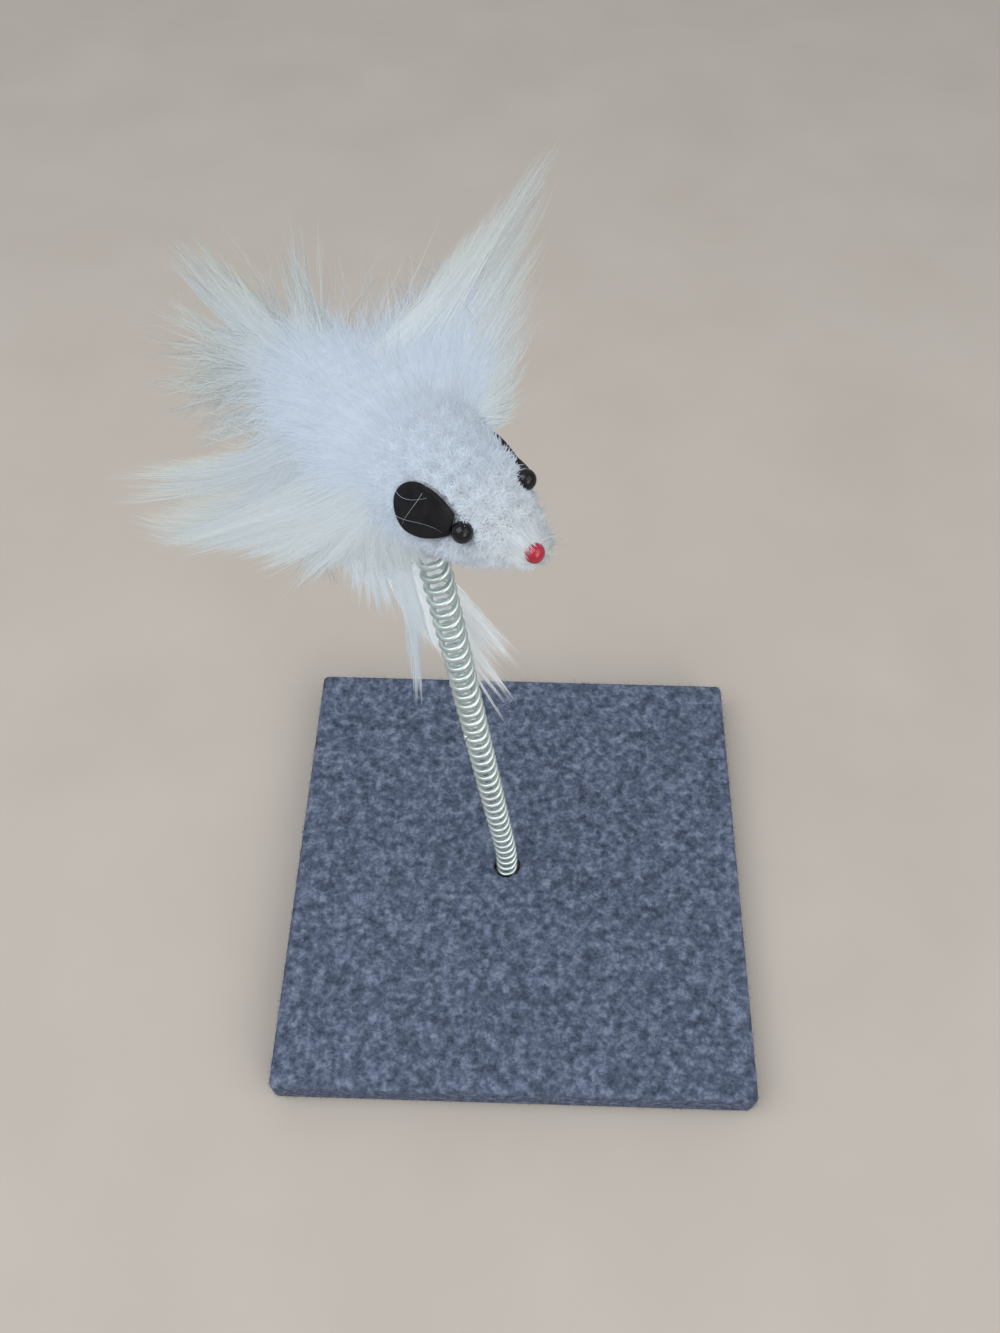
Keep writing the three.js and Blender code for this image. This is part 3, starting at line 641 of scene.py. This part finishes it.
def clear_of_ears(paths, margin=0.4):
    """True for hairs that don't stand in front of an ear or cut through it."""
    ahead = 1
    behind = 0.35
    free = np.ones(len(paths), bool)
    for side in (LEFT, RIGHT):
        root, back, across, normal = ear_axes(side)
        local = paths - root
        along = local @ back
        half = np.interp(along, EAR_OUTLINE[:, 0], EAR_OUTLINE[:, 1])
        inside = (along > -ahead) & (along < EAR_LENGTH + margin)
        inside &= np.abs(local @ across) < half + margin
        inside &= (local @ normal) > -behind
        free &= ~inside.any(1)
    return free


def clear_of_spring(paths):
    """Moves hairs below the body out of the spring's way."""
    away = np.hypot(paths[..., 0], paths[..., 1])
    push = np.maximum(SPRING_CLEAR / np.maximum(away, 0.05), 1)
    moved = paths.copy()
    moved[..., :2] *= np.where(paths[..., 2] < CLEAR_BELOW, push, 1)[..., None]
    return moved


def coat_hairs(grid, normals):
    """Short hairs spread evenly over the dense fur, close to it, and the way they face."""
    corner = grid[:-1]
    side = np.roll(corner, -1, 1) - corner
    onto = grid[1:] - corner
    area = np.linalg.norm(np.cross(side, onto), axis=-1)
    cell = rng.choice(area.size, COAT_HAIRS, p=(area / area.sum()).ravel())
    row, column = np.unravel_index(cell, area.shape)
    u, v = rng.random((2, COAT_HAIRS, 1))
    place = corner[row, column] + side[row, column] * u + onto[row, column] * v
    normal = normals[row, column]
    onward = pull_at(place * 0.85, False) * 0.06 - MOUSE_AHEAD * 0.5
    onward = onward - normal * (onward * normal).sum(-1, keepdims=True)
    drift = unit(unit(onward) + 0.22 * rng.normal(size=place.shape))
    length = np.interp(place[:, 0], [-RUMP, -4, NECK], [10, 10, 6]) * rng.uniform(0.5, 1.2, COAT_HAIRS)
    length = length[:, None]
    lift = place + (normal * 0.08 + drift * 0.3) * length
    bend = lift + (drift * 0.35 - normal * 0.01) * length
    end = bend + (drift * 0.35 - normal * 0.06) * length
    paths = waved(bezier(place - normal * 0.4, lift, bend, end, COAT_STEPS), 0.5)
    return paths, np.repeat(unit(normal * 0.5 + MOUSE_UP)[:, None], COAT_STEPS, 1)


def add_hairs(name, paths, facing, cream, node_name, white=WHITE, streak=None, widths=COAT_WIDTHS):
    count, steps, _ = paths.shape
    tints = hair_tints(count, steps, cream, white, streak)
    widths = rng.uniform(*widths, count) * MM
    hairs = strand_object(name, to_world(paths), widths, tints, facing @ MOUSE_TURN.T)
    hairs.visible_shadow = False
    dress(hairs, FUR, "mouse", "white_fur", node_name)


def gathered_hairs(tufts):
    """The hairs of some tufts, the way they face and each strand's own streak of colour."""
    paths, facing, streak = [], [], []
    for lock in tufts:
        alone = lock["wave"] * (0.4 - 0.3 * lock["gather"])
        for tip, anchor in lock["found"]:
            strand, faces = lock_hairs(lock, tip, anchor)
            paths.append(waved(waved(strand, lock["wave"], True), alone))
            facing.append(faces)
            streak.append(np.full(len(strand), rng.random()))
    paths, facing, streak = (np.concatenate(part) for part in (paths, facing, streak))
    paths = clear_of_spring(paths)
    free = clear_of_ears(paths)
    return paths[free], facing[free], streak[free]


def add_coat():
    """The dense fur, the hairs that lie on it and the hem on the right flank."""
    for lock in TUFTS:
        find_clumps(lock)
    grid, normals = fur_shell()
    wool = grid_object("fur_dense", to_world(grid))
    material = mottled("fur_wool", 0.9, WHITE * 0.95, WHITE * 1.02, 4.0, 0.25, 0.25 * MM, Roughness=0.9,
                       Specular_IOR_Level=0.1)
    wool.visible_shadow = False
    shade = unit(normals * 0.6 + MOUSE_UP) @ MOUSE_TURN.T
    wool.data.normals_split_custom_set_from_vertices(shade.reshape(-1, 3).tolist())
    dress(wool, material, "mouse", "white_fur", "fur_coat")
    for name in ("first", "second"):
        paths, facing = coat_hairs(grid, normals)
        paths = clear_of_spring(paths)
        free = clear_of_ears(paths)
        paths, facing = paths[free], facing[free]
        # Hairs low on the body turn to the greyer white: painted shade, darker towards the bottom.
        low = np.clip((2 - paths[:, :1, 2:]) / 10, 0, 1)
        white = WHITE * (1 - low) + UNDERSIDE_PAINTED_SHADE * low
        add_hairs(f"coat_hairs_{name}", paths, facing, COAT_CREAM, "fur_coat", white)
    paths, facing, streak = gathered_hairs([HEM])
    add_hairs("coat_hem", paths, facing, COAT_CREAM, "fur_coat", LOCK_WHITE, streak)


def add_locks():
    for name, tufts in LOCKS.items():
        paths, facing, streak = gathered_hairs(tufts)
        # Each lock takes its own white, with its painted light and shade.
        white = LOCK_WHITES_PAINTED_LIGHT.get(name, LOCK_WHITE)
        cream, widths = (BELLY_CREAM, BELLY_WIDTHS) if "belly" in name else (LOCK_CREAM, LOCK_WIDTHS)
        add_hairs(f"fur_{name}", paths, facing, cream, name, white, streak, widths)


def add_collar():
    """Short hairs that cover the line where the coat meets the head."""
    rear = NECK - 5
    front = NECK + 4.5
    x, turn = roots(COLLAR_HAIRS, rear, front)
    place, normal = on_body(x, turn, -0.6)
    length = np.interp(x, [rear, front], [4.6, 1.6])[:, None] * rng.uniform(0.6, 1.2, (len(x), 1))
    lean = unit(normal * 0.8 - MOUSE_AHEAD * 0.6 + 0.4 * rng.normal(size=place.shape))
    lift = place + normal * 0.35 * length
    end = place + lean * length
    paths = bezier(place, lift, end - lean * 0.3 * length, end, COAT_STEPS)
    free = clear_of_ears(paths)
    facing = np.repeat(unit(normal * 0.6 + MOUSE_UP)[:, None], COAT_STEPS, 1)
    add_hairs("coat_collar", paths[free], facing[free], COLLAR_CREAM, "fur_coat")


# Head

HEAD_SUNK = [(NECK, -0.5), (18, -0.6), (SNOUT, -1.7)]
SPECKS_START = 7
SNOUT_TINT_START = 16
FLUFF_START = 22
FLUFF_LENGTH = 0.9
BROW_LENGTH = 1.0
FRINGE_ROOTS = (25.2, 28.2)
FRINGE_TURNS = (55, 150)
FRINGE_EDGE = [(29.35, 0.65, 3.8), (29.85, -1.5, 3.7), (29.55, -3.2, 2.4)]


def on_head(x, turn):
    """Points of the head's backing, under the outline and deepest at the snout."""
    place, normal = on_body(x, turn)
    return place + normal * np.interp(x, *zip(*HEAD_SUNK))[..., None], normal


def snout_fluff(x, normal):
    """How much longer the pile is, from 0 to 1, on the left and top of the snout."""
    side = np.clip(0.45 + 0.9 * normal[:, 1] + 0.3 * normal[:, 2], 0, 1)
    return np.clip((x - FLUFF_START) / 5, 0, 1) * side


def brow_fluff(place):
    """How much longer the pile is, from 0 to 1, above the left eye and ear, which it half covers."""
    root, back, across, _ = ear_axes(LEFT)
    along = (place - root) @ back
    aside = (place - root) @ across
    return np.interp(along, [-5, -3, 7, 9], [0, 1, 1, 0]) * np.interp(aside, [1.5, 3, 5.5, 8], [0, 1, 1, 0])


def wool_lumps(place):
    """A lumpy field from -1 to 1 over the head, for the unevenness of its pile and its painted light and
    shade.
    """
    return np.sin(place * 2.4 + 1.7 * np.sin(place[:, [1, 2, 0]] * 1.5)).mean(-1)


def short_hairs(place, normal, lean, length, sunk=0.0):
    """Hairs of three points that start along the normal and turn to their lean."""
    return np.stack([place - normal * sunk, place + (normal + lean) * 0.3 * length, place + lean * length], 1)


def add_pile(name, paths, normal, widths):
    widths = rng.uniform(*widths, len(paths))
    free = clear_of_ears(paths, 0.1)
    paths, widths = paths[free], widths[free]
    shade = unit(normal[free] * 0.8 + MOUSE_UP * 0.7)
    facing = np.repeat((shade @ MOUSE_TURN.T)[:, None], paths.shape[1], 1)
    place = paths[:, 0]
    ahead = np.clip((place[:, 0] - SNOUT_TINT_START) / (SNOUT - SNOUT_TINT_START), 0, 1)[:, None, None]
    # The pile is painted lighter on its lumps and darker in the hollows between them: painted light and
    # shade.
    white = (WHITE * (1 - ahead) + SNOUT_WHITE * ahead) * (1 + 0.14 * wool_lumps(place)[:, None, None])
    tints = hair_tints(len(paths), paths.shape[1], PILE_CREAM, white)
    pile = strand_object(name, to_world(paths), widths * MM, tints, facing)
    pile.visible_shadow = False
    dress(pile, FUR, "mouse", "white_pile", "head_cover")


def add_head_backing():
    """The grey backing that the head's pile grows from."""
    curve = SNOUT_START + SNOUT_RADIUS * np.sin(np.linspace(0.1, 1.55, 12))
    stations = np.concatenate([np.linspace(NECK - 3, SNOUT_START, 34), curve])
    turns = np.linspace(0, FULL_TURN, 72, endpoint=False)
    place, _ = on_head(*np.meshgrid(stations, turns, indexing="ij"))
    skin = grid_object("head_backing", to_world(place))
    backing = mottled("grey_backing", 1.2, (0.26, 0.27, 0.28), (0.46, 0.48, 0.50), 4.0, 0.4, 0.2 * MM,
                      (0.35, 0.65), Roughness=0.95)
    skin.visible_shadow = False
    dress(skin, backing, "mouse", "white_pile", "head_cover")


def add_head_pile():
    """The short clipped pile, which lets the backing show as specks on top of the head."""
    x, turn = roots(PILE_HAIRS, NECK - 2, SNOUT - 0.03)
    place, normal = on_head(x, turn)
    clump = np.sin(place * 5.0 + 2.0 * np.sin(place[:, [2, 0, 1]] * 2.6))
    speckled = np.clip(0.3 + normal[:, 2] * 1.2, 0, 1) * np.clip((x - SPECKS_START) / 5, 0.25, 1)
    kept = np.abs(clump).min(-1) + 0.3 * rng.random(len(x)) > 0.2 * speckled
    x, place, normal, clump = x[kept], place[kept], normal[kept], clump[kept]
    length = np.interp(x, [NECK - 2, NECK + 5, SNOUT], [1.9, 1.2, 1.05])
    length += FLUFF_LENGTH * snout_fluff(x, normal) + BROW_LENGTH * brow_fluff(place)
    length = length[:, None] * rng.uniform(0.7, 1.2, (len(x), 1)) * (1 + 0.3 * wool_lumps(place)[:, None])
    lean = unit(normal - MOUSE_AHEAD * 0.3 + 0.3 * clump + 0.45 * rng.normal(size=place.shape))
    add_pile("head_pile", short_hairs(place, normal, lean, length, 0.2), normal, PILE_WIDTHS)


def add_head_fuzz():
    """Thin hairs that stand out from the pile."""
    x, turn = roots(FUZZ_HAIRS, NECK + 2, SNOUT - 0.1)
    place, normal = on_head(x, turn)
    lean = unit(normal - MOUSE_AHEAD * 0.2 + 0.5 * rng.normal(size=place.shape))
    length = (1 + 0.5 * snout_fluff(x, normal)[:, None]) * rng.uniform(1.5, 2.7, (len(x), 1))
    add_pile("head_fuzz", short_hairs(place, normal, lean, length), normal, FUZZ_WIDTHS)


def add_fringe():
    """Longer hairs on top of the snout that hang forward over the nose."""
    x = rng.uniform(*FRINGE_ROOTS, FRINGE_HAIRS)
    around = rng.random(FRINGE_HAIRS)
    turn = np.radians(np.interp(around, [0, 1], FRINGE_TURNS))
    place, normal = on_head(x, turn)
    edge = np.array(FRINGE_EDGE)
    tip = np.stack([np.interp(around, [0, 0.5, 1], edge[:, k]) for k in range(3)], -1)
    tip += rng.normal(size=tip.shape) * 0.3
    tip -= MOUSE_AHEAD * rng.uniform(0, 1.3, (FRINGE_HAIRS, 1))
    paths = bezier(place, place + normal * 1.7, tip - [[1.1, 0, -0.35]], tip, COAT_STEPS)
    add_pile("head_fringe", paths, normal, FRINGE_WIDTHS)


# Beads and ears

def turned_object(name, profile, centre, outward):
    """A piece turned about an axis through its centre, from (radius, height) points."""
    sides = 40
    turns = np.linspace(0, FULL_TURN, sides, endpoint=False)
    radius, height = np.array(profile).T[..., None]
    grid = np.stack([radius * np.cos(turns), radius * np.sin(turns), np.repeat(height, sides, 1)], -1)
    turn = np.array(Vector((0, 0, 1)).rotation_difference(Vector(outward)).to_matrix())
    return grid_object(name, to_world(grid @ turn.T + centre))


def bead_profile(radius):
    """A bead on a thin shank, from the shank's end to the bead's crown."""
    crown = 0.02
    arc = np.linspace(math.pi - math.asin(SHANK_RADIUS / radius), crown, 26)
    return [(SHANK_RADIUS, -SHANK_LENGTH)] + [(radius * math.sin(a), radius * math.cos(a)) for a in arc]


def add_beads():
    black = mottled("black_bead", 0.5, (0.004, 0.004, 0.005), (0.012, 0.012, 0.014), Roughness=0.08,
                    Specular_IOR_Level=0.3)
    red = mottled("red_bead", 0.5, (0.32, 0.007, 0.026), (0.40, 0.012, 0.038), Roughness=0.18,
                  Coat_Weight=0.25, Coat_Roughness=0.06)
    for name, side in (("eye_left", LEFT), ("eye_right", RIGHT)):
        out = side_way(side, EYE_ANGLES[side])
        centre = out * (FACE_RADIUS + EYE_STAND) + MOUSE_AHEAD * EYE_FORWARD
        bead = turned_object(f"{name}_bead", bead_profile(EYE_RADIUS), centre, out)
        dress(bead, black, "mouse", "eye_bead", name)
    level = math.cos(NOSE_RISE)
    out = np.array([level * math.cos(NOSE_TURN), level * math.sin(NOSE_TURN), math.sin(NOSE_RISE)])
    centre = out * (SNOUT_RADIUS + NOSE_STAND) + MOUSE_AHEAD * SNOUT_START
    bead = turned_object("nose_bead", bead_profile(NOSE_RADIUS), centre, out)
    dress(bead, red, "mouse", "nose_bead", "nose")


# An ear's rings: the share of the way from middle to rim, and the level from back to front
EAR_RINGS = [(0.02, 0), (0.3, 0), (0.6, 0), (0.85, 0), (0.95, 0.02), (0.99, 0.2), (1, 0.5),
             (0.99, 0.8), (0.95, 0.98), (0.85, 1), (0.6, 1), (0.3, 1), (0.02, 1)]

# Loose hairs that lie across the right ear, as distances along it, across it and above it
EAR_HAIRS = [
    [(5.2, -3.8, 1.0), (5.4, -1.2, 1.5), (7.4, 1.4, 1.5), (7.6, 3.4, 1.0)],
    [(10.4, 1.4, 1.0), (8, 3.4, 1.6), (4.5, 0.4, 1.5), (0.4, 1.4, 1.1)],
    [(10.2, -1.4, 1.0), (8.2, 0.2, 1.5), (5.4, -1.6, 1.4), (3.2, -3.2, 1.0)],
]


def ear_grid(side):
    """Rings over an ear, from the middle of its back over the rim to the middle of its front."""
    root, back, across, normal = ear_axes(side)
    rim = np.concatenate([EAR_OUTLINE, EAR_OUTLINE[-2::-1] * [1, -1]])
    middle = np.array([EAR_LENGTH * 0.5, 0])
    rings = []
    for share, level in EAR_RINGS:
        flat = middle + (rim - middle) * share
        along = flat[:, 0] / EAR_LENGTH
        cup = EAR_CUP * (flat[:, 1] / (EAR_WIDTH / 2)) ** 2
        arch = EAR_ARCH * np.sin(along * math.pi) - EAR_CURL * along ** 2
        lift = level * EAR_THICKNESS + cup + arch
        rings.append(root + flat[:, :1] * back + flat[:, 1:] * across + lift[:, None] * normal)
    return np.stack(rings)


def ear_material():
    """Black leatherette with a fine grain."""
    leather, tree, shader = new_material("ear_leatherette", Roughness=0.6, Specular_IOR_Level=0.16)
    stops = [(0.3, (0.004, 0.004, 0.005)), (0.75, (0.015, 0.015, 0.017))]
    colour_by(tree, shader, noise(tree, 0.35, 5.0), stops)
    grain = node(tree, "ShaderNodeTexVoronoi", Scale=2.6 / MM)
    where = node(tree, "ShaderNodeTexCoord")
    tree.links.new(where.outputs["Object"], grain.inputs["Vector"])
    bump(tree, shader, grain.outputs["Distance"], 0.35, 0.1 * MM)
    return leather


def add_ears():
    leather = ear_material()
    for name, side, body in (("ear_left", LEFT, "left_ear"), ("ear_right", RIGHT, "right_ear")):
        flap = grid_object(f"{name}_flap", to_world(ear_grid(side)))
        dress(flap, leather, body, "ear_leatherette", name)


def add_ear_hairs():
    root, back, across, normal = ear_axes(RIGHT)
    points = np.array(EAR_HAIRS) @ np.stack([back, across, normal]) + root
    paths = bezier(*(points[:, k] for k in range(4)), EAR_HAIR_STEPS)
    widths = np.full(len(paths), EAR_HAIR_WIDTH) * MM
    tints = hair_tints(len(paths), EAR_HAIR_STEPS, EAR_HAIR_CREAM)
    hairs = strand_object("ear_hairs", to_world(paths), widths, tints)
    dress(hairs, FUR, "right_ear", "white_fur")


# Spring

def axis_at(rise):
    """The spring's middle line, and the ways along and across it, at distances up from its foot."""
    lean = math.acos(UP[2])
    towards = unit(np.array([UP[0], UP[1], 0.0]))
    rise = rise[:, None]
    bent = np.clip(rise - STRAIGHT, 0, LEAN_BEND_LENGTH)
    beyond = np.clip(rise - STRAIGHT - LEAN_BEND_LENGTH, 0, None)
    angle = lean * bent / LEAN_BEND_LENGTH
    curve = LEAN_BEND_LENGTH / lean
    cos, sin = np.cos(angle), np.sin(angle)
    outward = curve * (1 - cos) + beyond * sin
    upward = np.minimum(rise, STRAIGHT) + curve * sin + beyond * cos
    centre = np.array([*HOLE, SPRING_FOOT]) + outward * towards + upward * PLUMB
    return centre * MM, cos * PLUMB + sin * towards, cos * towards - sin * PLUMB


def spring_grid(low, high):
    """Rings round the wire between two distances up from the spring's foot."""
    sides, steps_per_coil = 12, 22
    radius = (SPRING_DIAMETER - WIRE) / 2
    rise = np.linspace(low, high, int(steps_per_coil * (high - low) / COIL_PITCH))
    turn = FULL_TURN * rise / COIL_PITCH
    centre, along, across = axis_at(rise)
    out = np.cos(turn)[:, None] * across + np.sin(turn)[:, None] * np.cross(along, across)
    line = centre + out * radius * MM
    beside = np.cross(unit(np.gradient(line, axis=0)), out)
    ring = np.linspace(0, FULL_TURN, sides, endpoint=False)[None, :, None]
    return line[:, None] + (out[:, None] * np.cos(ring) + beside[:, None] * np.sin(ring)) * WIRE / 2 * MM


def add_spring():
    zinc = mottled("zinc_wire", 0.25, (0.54, 0.62, 0.605), (0.74, 0.82, 0.80), 4.0, Metallic=1.0,
                   Roughness=0.4)
    middle = STRAIGHT + HALVES_MEET
    lower = grid_object("spring_lower", spring_grid(0, middle))
    upper = grid_object("spring_upper", spring_grid(middle, STRAIGHT + SPRING_TOP))
    for piece in (lower, upper):
        piece.data.materials.append(zinc)
        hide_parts("spring")
    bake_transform(lower)
    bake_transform(upper)


# Base

FELT_DARK = (0.048, 0.064, 0.095)
FELT_MIDDLE = (0.110, 0.138, 0.205)
FELT_LIGHT = (0.235, 0.272, 0.375)
FELT_LUMPS = 0.10
CARPET_STEPS = 520
TOP_RINGS = 96
TOP_ROWS = slice(2, 2 + TOP_RINGS)
SIDE_ROWS = slice(TOP_ROWS.stop, TOP_ROWS.stop + 12)
TOP_FIBRES = 9000
EDGE_FIBRES = 5200
FIBRE_WIDTHS = (0.06, 0.11)
EDGE_FIBRE_WIDTHS = (0.05, 0.09)


def felt_noise(p):
    """A smooth lumpy field over points, for the felt's unevenness."""
    x, y, z = p[..., 0], p[..., 1], p[..., 2]
    field = np.sin(1.9 * x + 1.3 * np.sin(1.1 * y)) * np.sin(2.1 * y + 1.7 * np.sin(0.9 * x) + z)
    field += 0.6 * np.sin(3.7 * x - 2.2 * y + z) * np.sin(3.1 * y + 1.9 * x)
    return field


def felt_material():
    material, tree, shader = new_material("needle_felt", Roughness=0.95, Specular_IOR_Level=0.1)
    blotch = noise(tree, 0.5, 4.0, 0.6)
    stops = [(0.32, FELT_DARK), (0.5, FELT_MIDDLE), (0.7, FELT_LIGHT)]
    colour_by(tree, shader, blotch, stops)
    fibres = noise(tree, 2.4, 4.0, 0.6)
    bump(tree, shader, fibres, 0.8, 0.5 * MM)
    return material


def carpet_outline(inset, corner, steps=CARPET_STEPS):
    """Points round the carpet at an inset, anticlockwise from the middle of the +X side."""
    reach = CARPET_HALF - inset - corner
    bend = math.pi * corner / 2
    side, s = np.divmod(np.linspace(0, 8 * reach + 4 * bend, steps, endpoint=False), 2 * reach + bend)
    a = np.clip((s - reach) / corner, 0, math.pi / 2)
    x = reach + corner * np.cos(a) - np.maximum(s - reach - bend, 0)
    y = np.minimum(s, reach) + corner * np.sin(a)
    c, d = np.cos(side * math.pi / 2), np.sin(side * math.pi / 2)
    return np.column_stack([c * x - d * y, d * x + c * y])


def carpet_rings():
    """Rings over the carpet, from the hole's foot over the top, round the edge and in under the flaps."""
    low, high = CARPET_LOW[2], CARPET_HIGH[2]
    outline = carpet_outline(0, CARPET_CORNER)
    inner = carpet_outline(CARPET_EDGE, CARPET_CORNER - CARPET_EDGE)
    under = carpet_outline(CARPET_FOLD, CARPET_CORNER - CARPET_FOLD)
    flap = carpet_outline(FLAP, FLAP_CORNER)
    hole = HOLE + HOLE_RADIUS * unit(outline - HOLE)
    rings = [(hole, high - CARPET_THICKNESS), (hole, high - HOLE_LIP)]
    for share in np.linspace(0, 1, TOP_RINGS) ** 1.15:
        rings.append((hole + (inner - hole) * (0.004 + 0.996 * share), high))
    for a in np.linspace(0, math.pi / 2, 6)[1:]:
        rings.append((inner + (outline - inner) * math.sin(a), high - CARPET_EDGE * (1 - math.cos(a))))
    rings += [(outline, z) for z in np.linspace(high - CARPET_EDGE, low + CARPET_FOLD, 12)[1:]]
    rings += [(under, low), (flap, low), (flap, low + CARPET_THICKNESS)]
    return np.stack([np.column_stack([flat, np.full(CARPET_STEPS, z)]) for flat, z in rings])


def add_carpet():
    grid = carpet_rings()
    lumps = FELT_LUMPS * felt_noise(grid)
    grid[TOP_ROWS, :, 2] += np.minimum(lumps[TOP_ROWS], 0.2)
    outward = unit(grid[SIDE_ROWS, :, :2])
    grid[SIDE_ROWS, :, :2] += outward * lumps[SIDE_ROWS][..., None] * 0.6
    felt = grid_object("carpet_felt", grid * MM, caps=False)
    dress(felt, felt_material(), "base", "needle_felt", "carpet_cover")


def level_ways(angle):
    """Level unit vectors at angles from +X."""
    return np.column_stack([np.cos(angle), np.sin(angle), np.zeros(len(angle))])


def add_fibres(name, paths, widths):
    """Fibres of the felt, each in one of its colours."""
    count, steps, _ = paths.shape
    widths = rng.uniform(*widths, count) * MM
    colours = np.array([FELT_DARK, FELT_MIDDLE, FELT_MIDDLE, FELT_LIGHT])
    picked = colours[rng.integers(0, len(colours), count)] * rng.uniform(0.8, 1.2, (count, 1))
    fibres = strand_object(name, paths * MM, widths, np.repeat(picked[:, None], steps, 1))
    dress(fibres, FELT_HAIR, "base", "needle_felt", "carpet_cover")


def add_top_fibres():
    """Loose fibres that lie on the carpet, clear of its hole."""
    inside = CARPET_HALF - 1
    clear = 5
    overhang = CARPET_HALF + 0.5
    flat = rng.uniform(-inside, inside, (TOP_FIBRES, 2))
    flat = flat[np.hypot(*(flat - HOLE).T) > clear]
    count = len(flat)
    start = np.column_stack([flat, np.full(count, CARPET_HIGH[2] - 0.05)])
    heading = rng.uniform(0, FULL_TURN, count)
    turn = rng.normal(0, 1.1, count)
    length = rng.uniform(1.5, 4.5, (count, 1))
    lift = PLUMB * rng.uniform(0.15, 0.55, (count, 1))
    middle = start + level_ways(heading) * length * 0.35 + lift
    end = middle + level_ways(heading + turn) * length * 0.5 - lift * 0.8
    end[:, :2] = np.clip(end[:, :2], -overhang, overhang)
    paths = bezier(start, start + (middle - start) * 0.6, middle, end, 5)
    add_fibres("felt_fibres", paths, FIBRE_WIDTHS)


def add_edge_fibres():
    """Short fibres that stand out from the carpet's sides."""
    outline = carpet_outline(0, CARPET_CORNER, EDGE_FIBRES)
    reach = CARPET_HALF - CARPET_CORNER
    z = rng.uniform(CARPET_LOW[2] + CARPET_FOLD, CARPET_HIGH[2] - 0.3, EDGE_FIBRES)
    start = np.column_stack([outline * 0.9985, z])
    out = unit(np.column_stack([outline - np.clip(outline, -reach, reach), np.zeros(EDGE_FIBRES)]))
    along = np.cross(PLUMB, out) * rng.normal(0, 1.0, (EDGE_FIBRES, 1))
    length = rng.uniform(0.4, 1.3, (EDGE_FIBRES, 1))
    up = PLUMB * rng.normal(0.1, 0.5, (EDGE_FIBRES, 1))
    end = start + unit(out * 0.8 + along + up) * length
    paths = bezier(start, start + out * 0.4 * length, end - along * 0.2 * length, end, 4)
    add_fibres("felt_edge_fibres", paths, EDGE_FIBRE_WIDTHS)


def paint_inside():
    """Gives materials to the pieces inside, which keep their solids."""
    steel = mottled("fastener_zinc", 0.6, (0.42, 0.43, 0.44), (0.6, 0.61, 0.62), Metallic=1.0, Roughness=0.35)
    finishes = {
        "base_board": mottled("fibreboard", 1.6, (0.28, 0.19, 0.10), (0.42, 0.31, 0.19), 6.0, 0.3, 0.2 * MM,
                              Roughness=0.85),
        "bottom_sheet": mottled("backing_sheet", 1.4, (0.018, 0.019, 0.022), (0.035, 0.037, 0.042), 6.0, 0.4,
                                0.2 * MM, Roughness=0.95),
        "mouse_core": mottled("core_plastic", 0.2, (0.70, 0.66, 0.56), (0.76, 0.73, 0.64), Roughness=0.5),
        "spring_peg": mottled("peg_wood", 0.6, (0.52, 0.40, 0.24), (0.68, 0.55, 0.36), 5.0, 0.2, 0.1 * MM,
                              stretch=(1, 1, 0.12), Roughness=0.75),
    }
    for name, thing in frame["nodes"].items():
        if name.startswith(("staple_", "anchor_")):
            finishes[name] = steel
        if name in finishes:
            thing.data.materials.clear()
            thing.data.materials.append(finishes[name])


# Stage

LAMPS_AIM = Vector((0, 0, 0.1))
FLOOR_HALF = 4.0


def add_camera():
    yaw, pitch, roll = (math.radians(angle) for angle in CAMERA_YAW_PITCH_ROLL)
    look = Vector((math.sin(yaw) * math.cos(pitch), math.cos(yaw) * math.cos(pitch), -math.sin(pitch)))
    level = Vector((math.cos(yaw), -math.sin(yaw), 0))
    above = level.cross(look)
    right = level * math.cos(roll) + above * math.sin(roll)
    up = above * math.cos(roll) - level * math.sin(roll)
    data = bpy.data.cameras.new("camera")
    data.sensor_width = SENSOR
    data.lens = SENSOR * FOCAL_PIXELS / FRAME_HEIGHT
    data.clip_start = 0.01
    camera = bpy.data.objects.new("camera", data)
    turn = Matrix((right, up, -look)).transposed().to_4x4()
    camera.matrix_world = Matrix.Translation(Vector(CAMERA_AT) * MM) @ turn
    bpy.context.scene.collection.objects.link(camera)
    bpy.context.scene.camera = camera


def add_lamp(name, place, size, power, colour):
    data = bpy.data.lights.new(name, "AREA")
    data.size = size
    data.energy = power
    data.color = colour
    lamp = bpy.data.objects.new(name, data)
    lamp.location = place
    lamp.rotation_euler = (LAMPS_AIM - Vector(place)).to_track_quat("-Z", "Y").to_euler()
    bpy.context.scene.collection.objects.link(lamp)


def add_stage():
    scene = bpy.context.scene
    scene.view_settings.view_transform = "Standard"
    corners = np.array([[-1, -1, 0], [1, -1, 0], [1, 1, 0], [-1, 1, 0]]) * FLOOR_HALF
    floor = mesh_object("floor", corners, [0, 1, 2, 3], [0], smooth=False)
    floor.data.materials.append(mottled("floor", 0.02, (0.50, 0.45, 0.40), (0.53, 0.48, 0.43), Roughness=0.9))
    world = bpy.data.worlds.new("world")
    world.use_nodes = True
    sky = world.node_tree.nodes["Background"]
    sky.inputs["Color"].default_value = (0.93, 0.96, 1.0, 1)
    sky.inputs["Strength"].default_value = 0.5
    scene.world = world
    add_lamp("window", (-0.4, -0.2, 0.85), 0.7, 4.3, (0.96, 0.98, 1.0))
    add_lamp("fill", (0.5, -0.35, 0.7), 0.7, 1.9, (1.0, 0.99, 0.97))
    add_lamp("low_front", (0.7, -1.2, 0.6), 0.8, 4.6, (1.0, 0.99, 0.98))


add_camera()
add_stage()
paint_inside()
add_carpet()
add_top_fibres()
add_edge_fibres()
add_spring()
add_coat()
add_locks()
add_collar()
add_head_backing()
add_head_pile()
add_head_fuzz()
add_fringe()
add_beads()
add_ears()
add_ear_hairs()
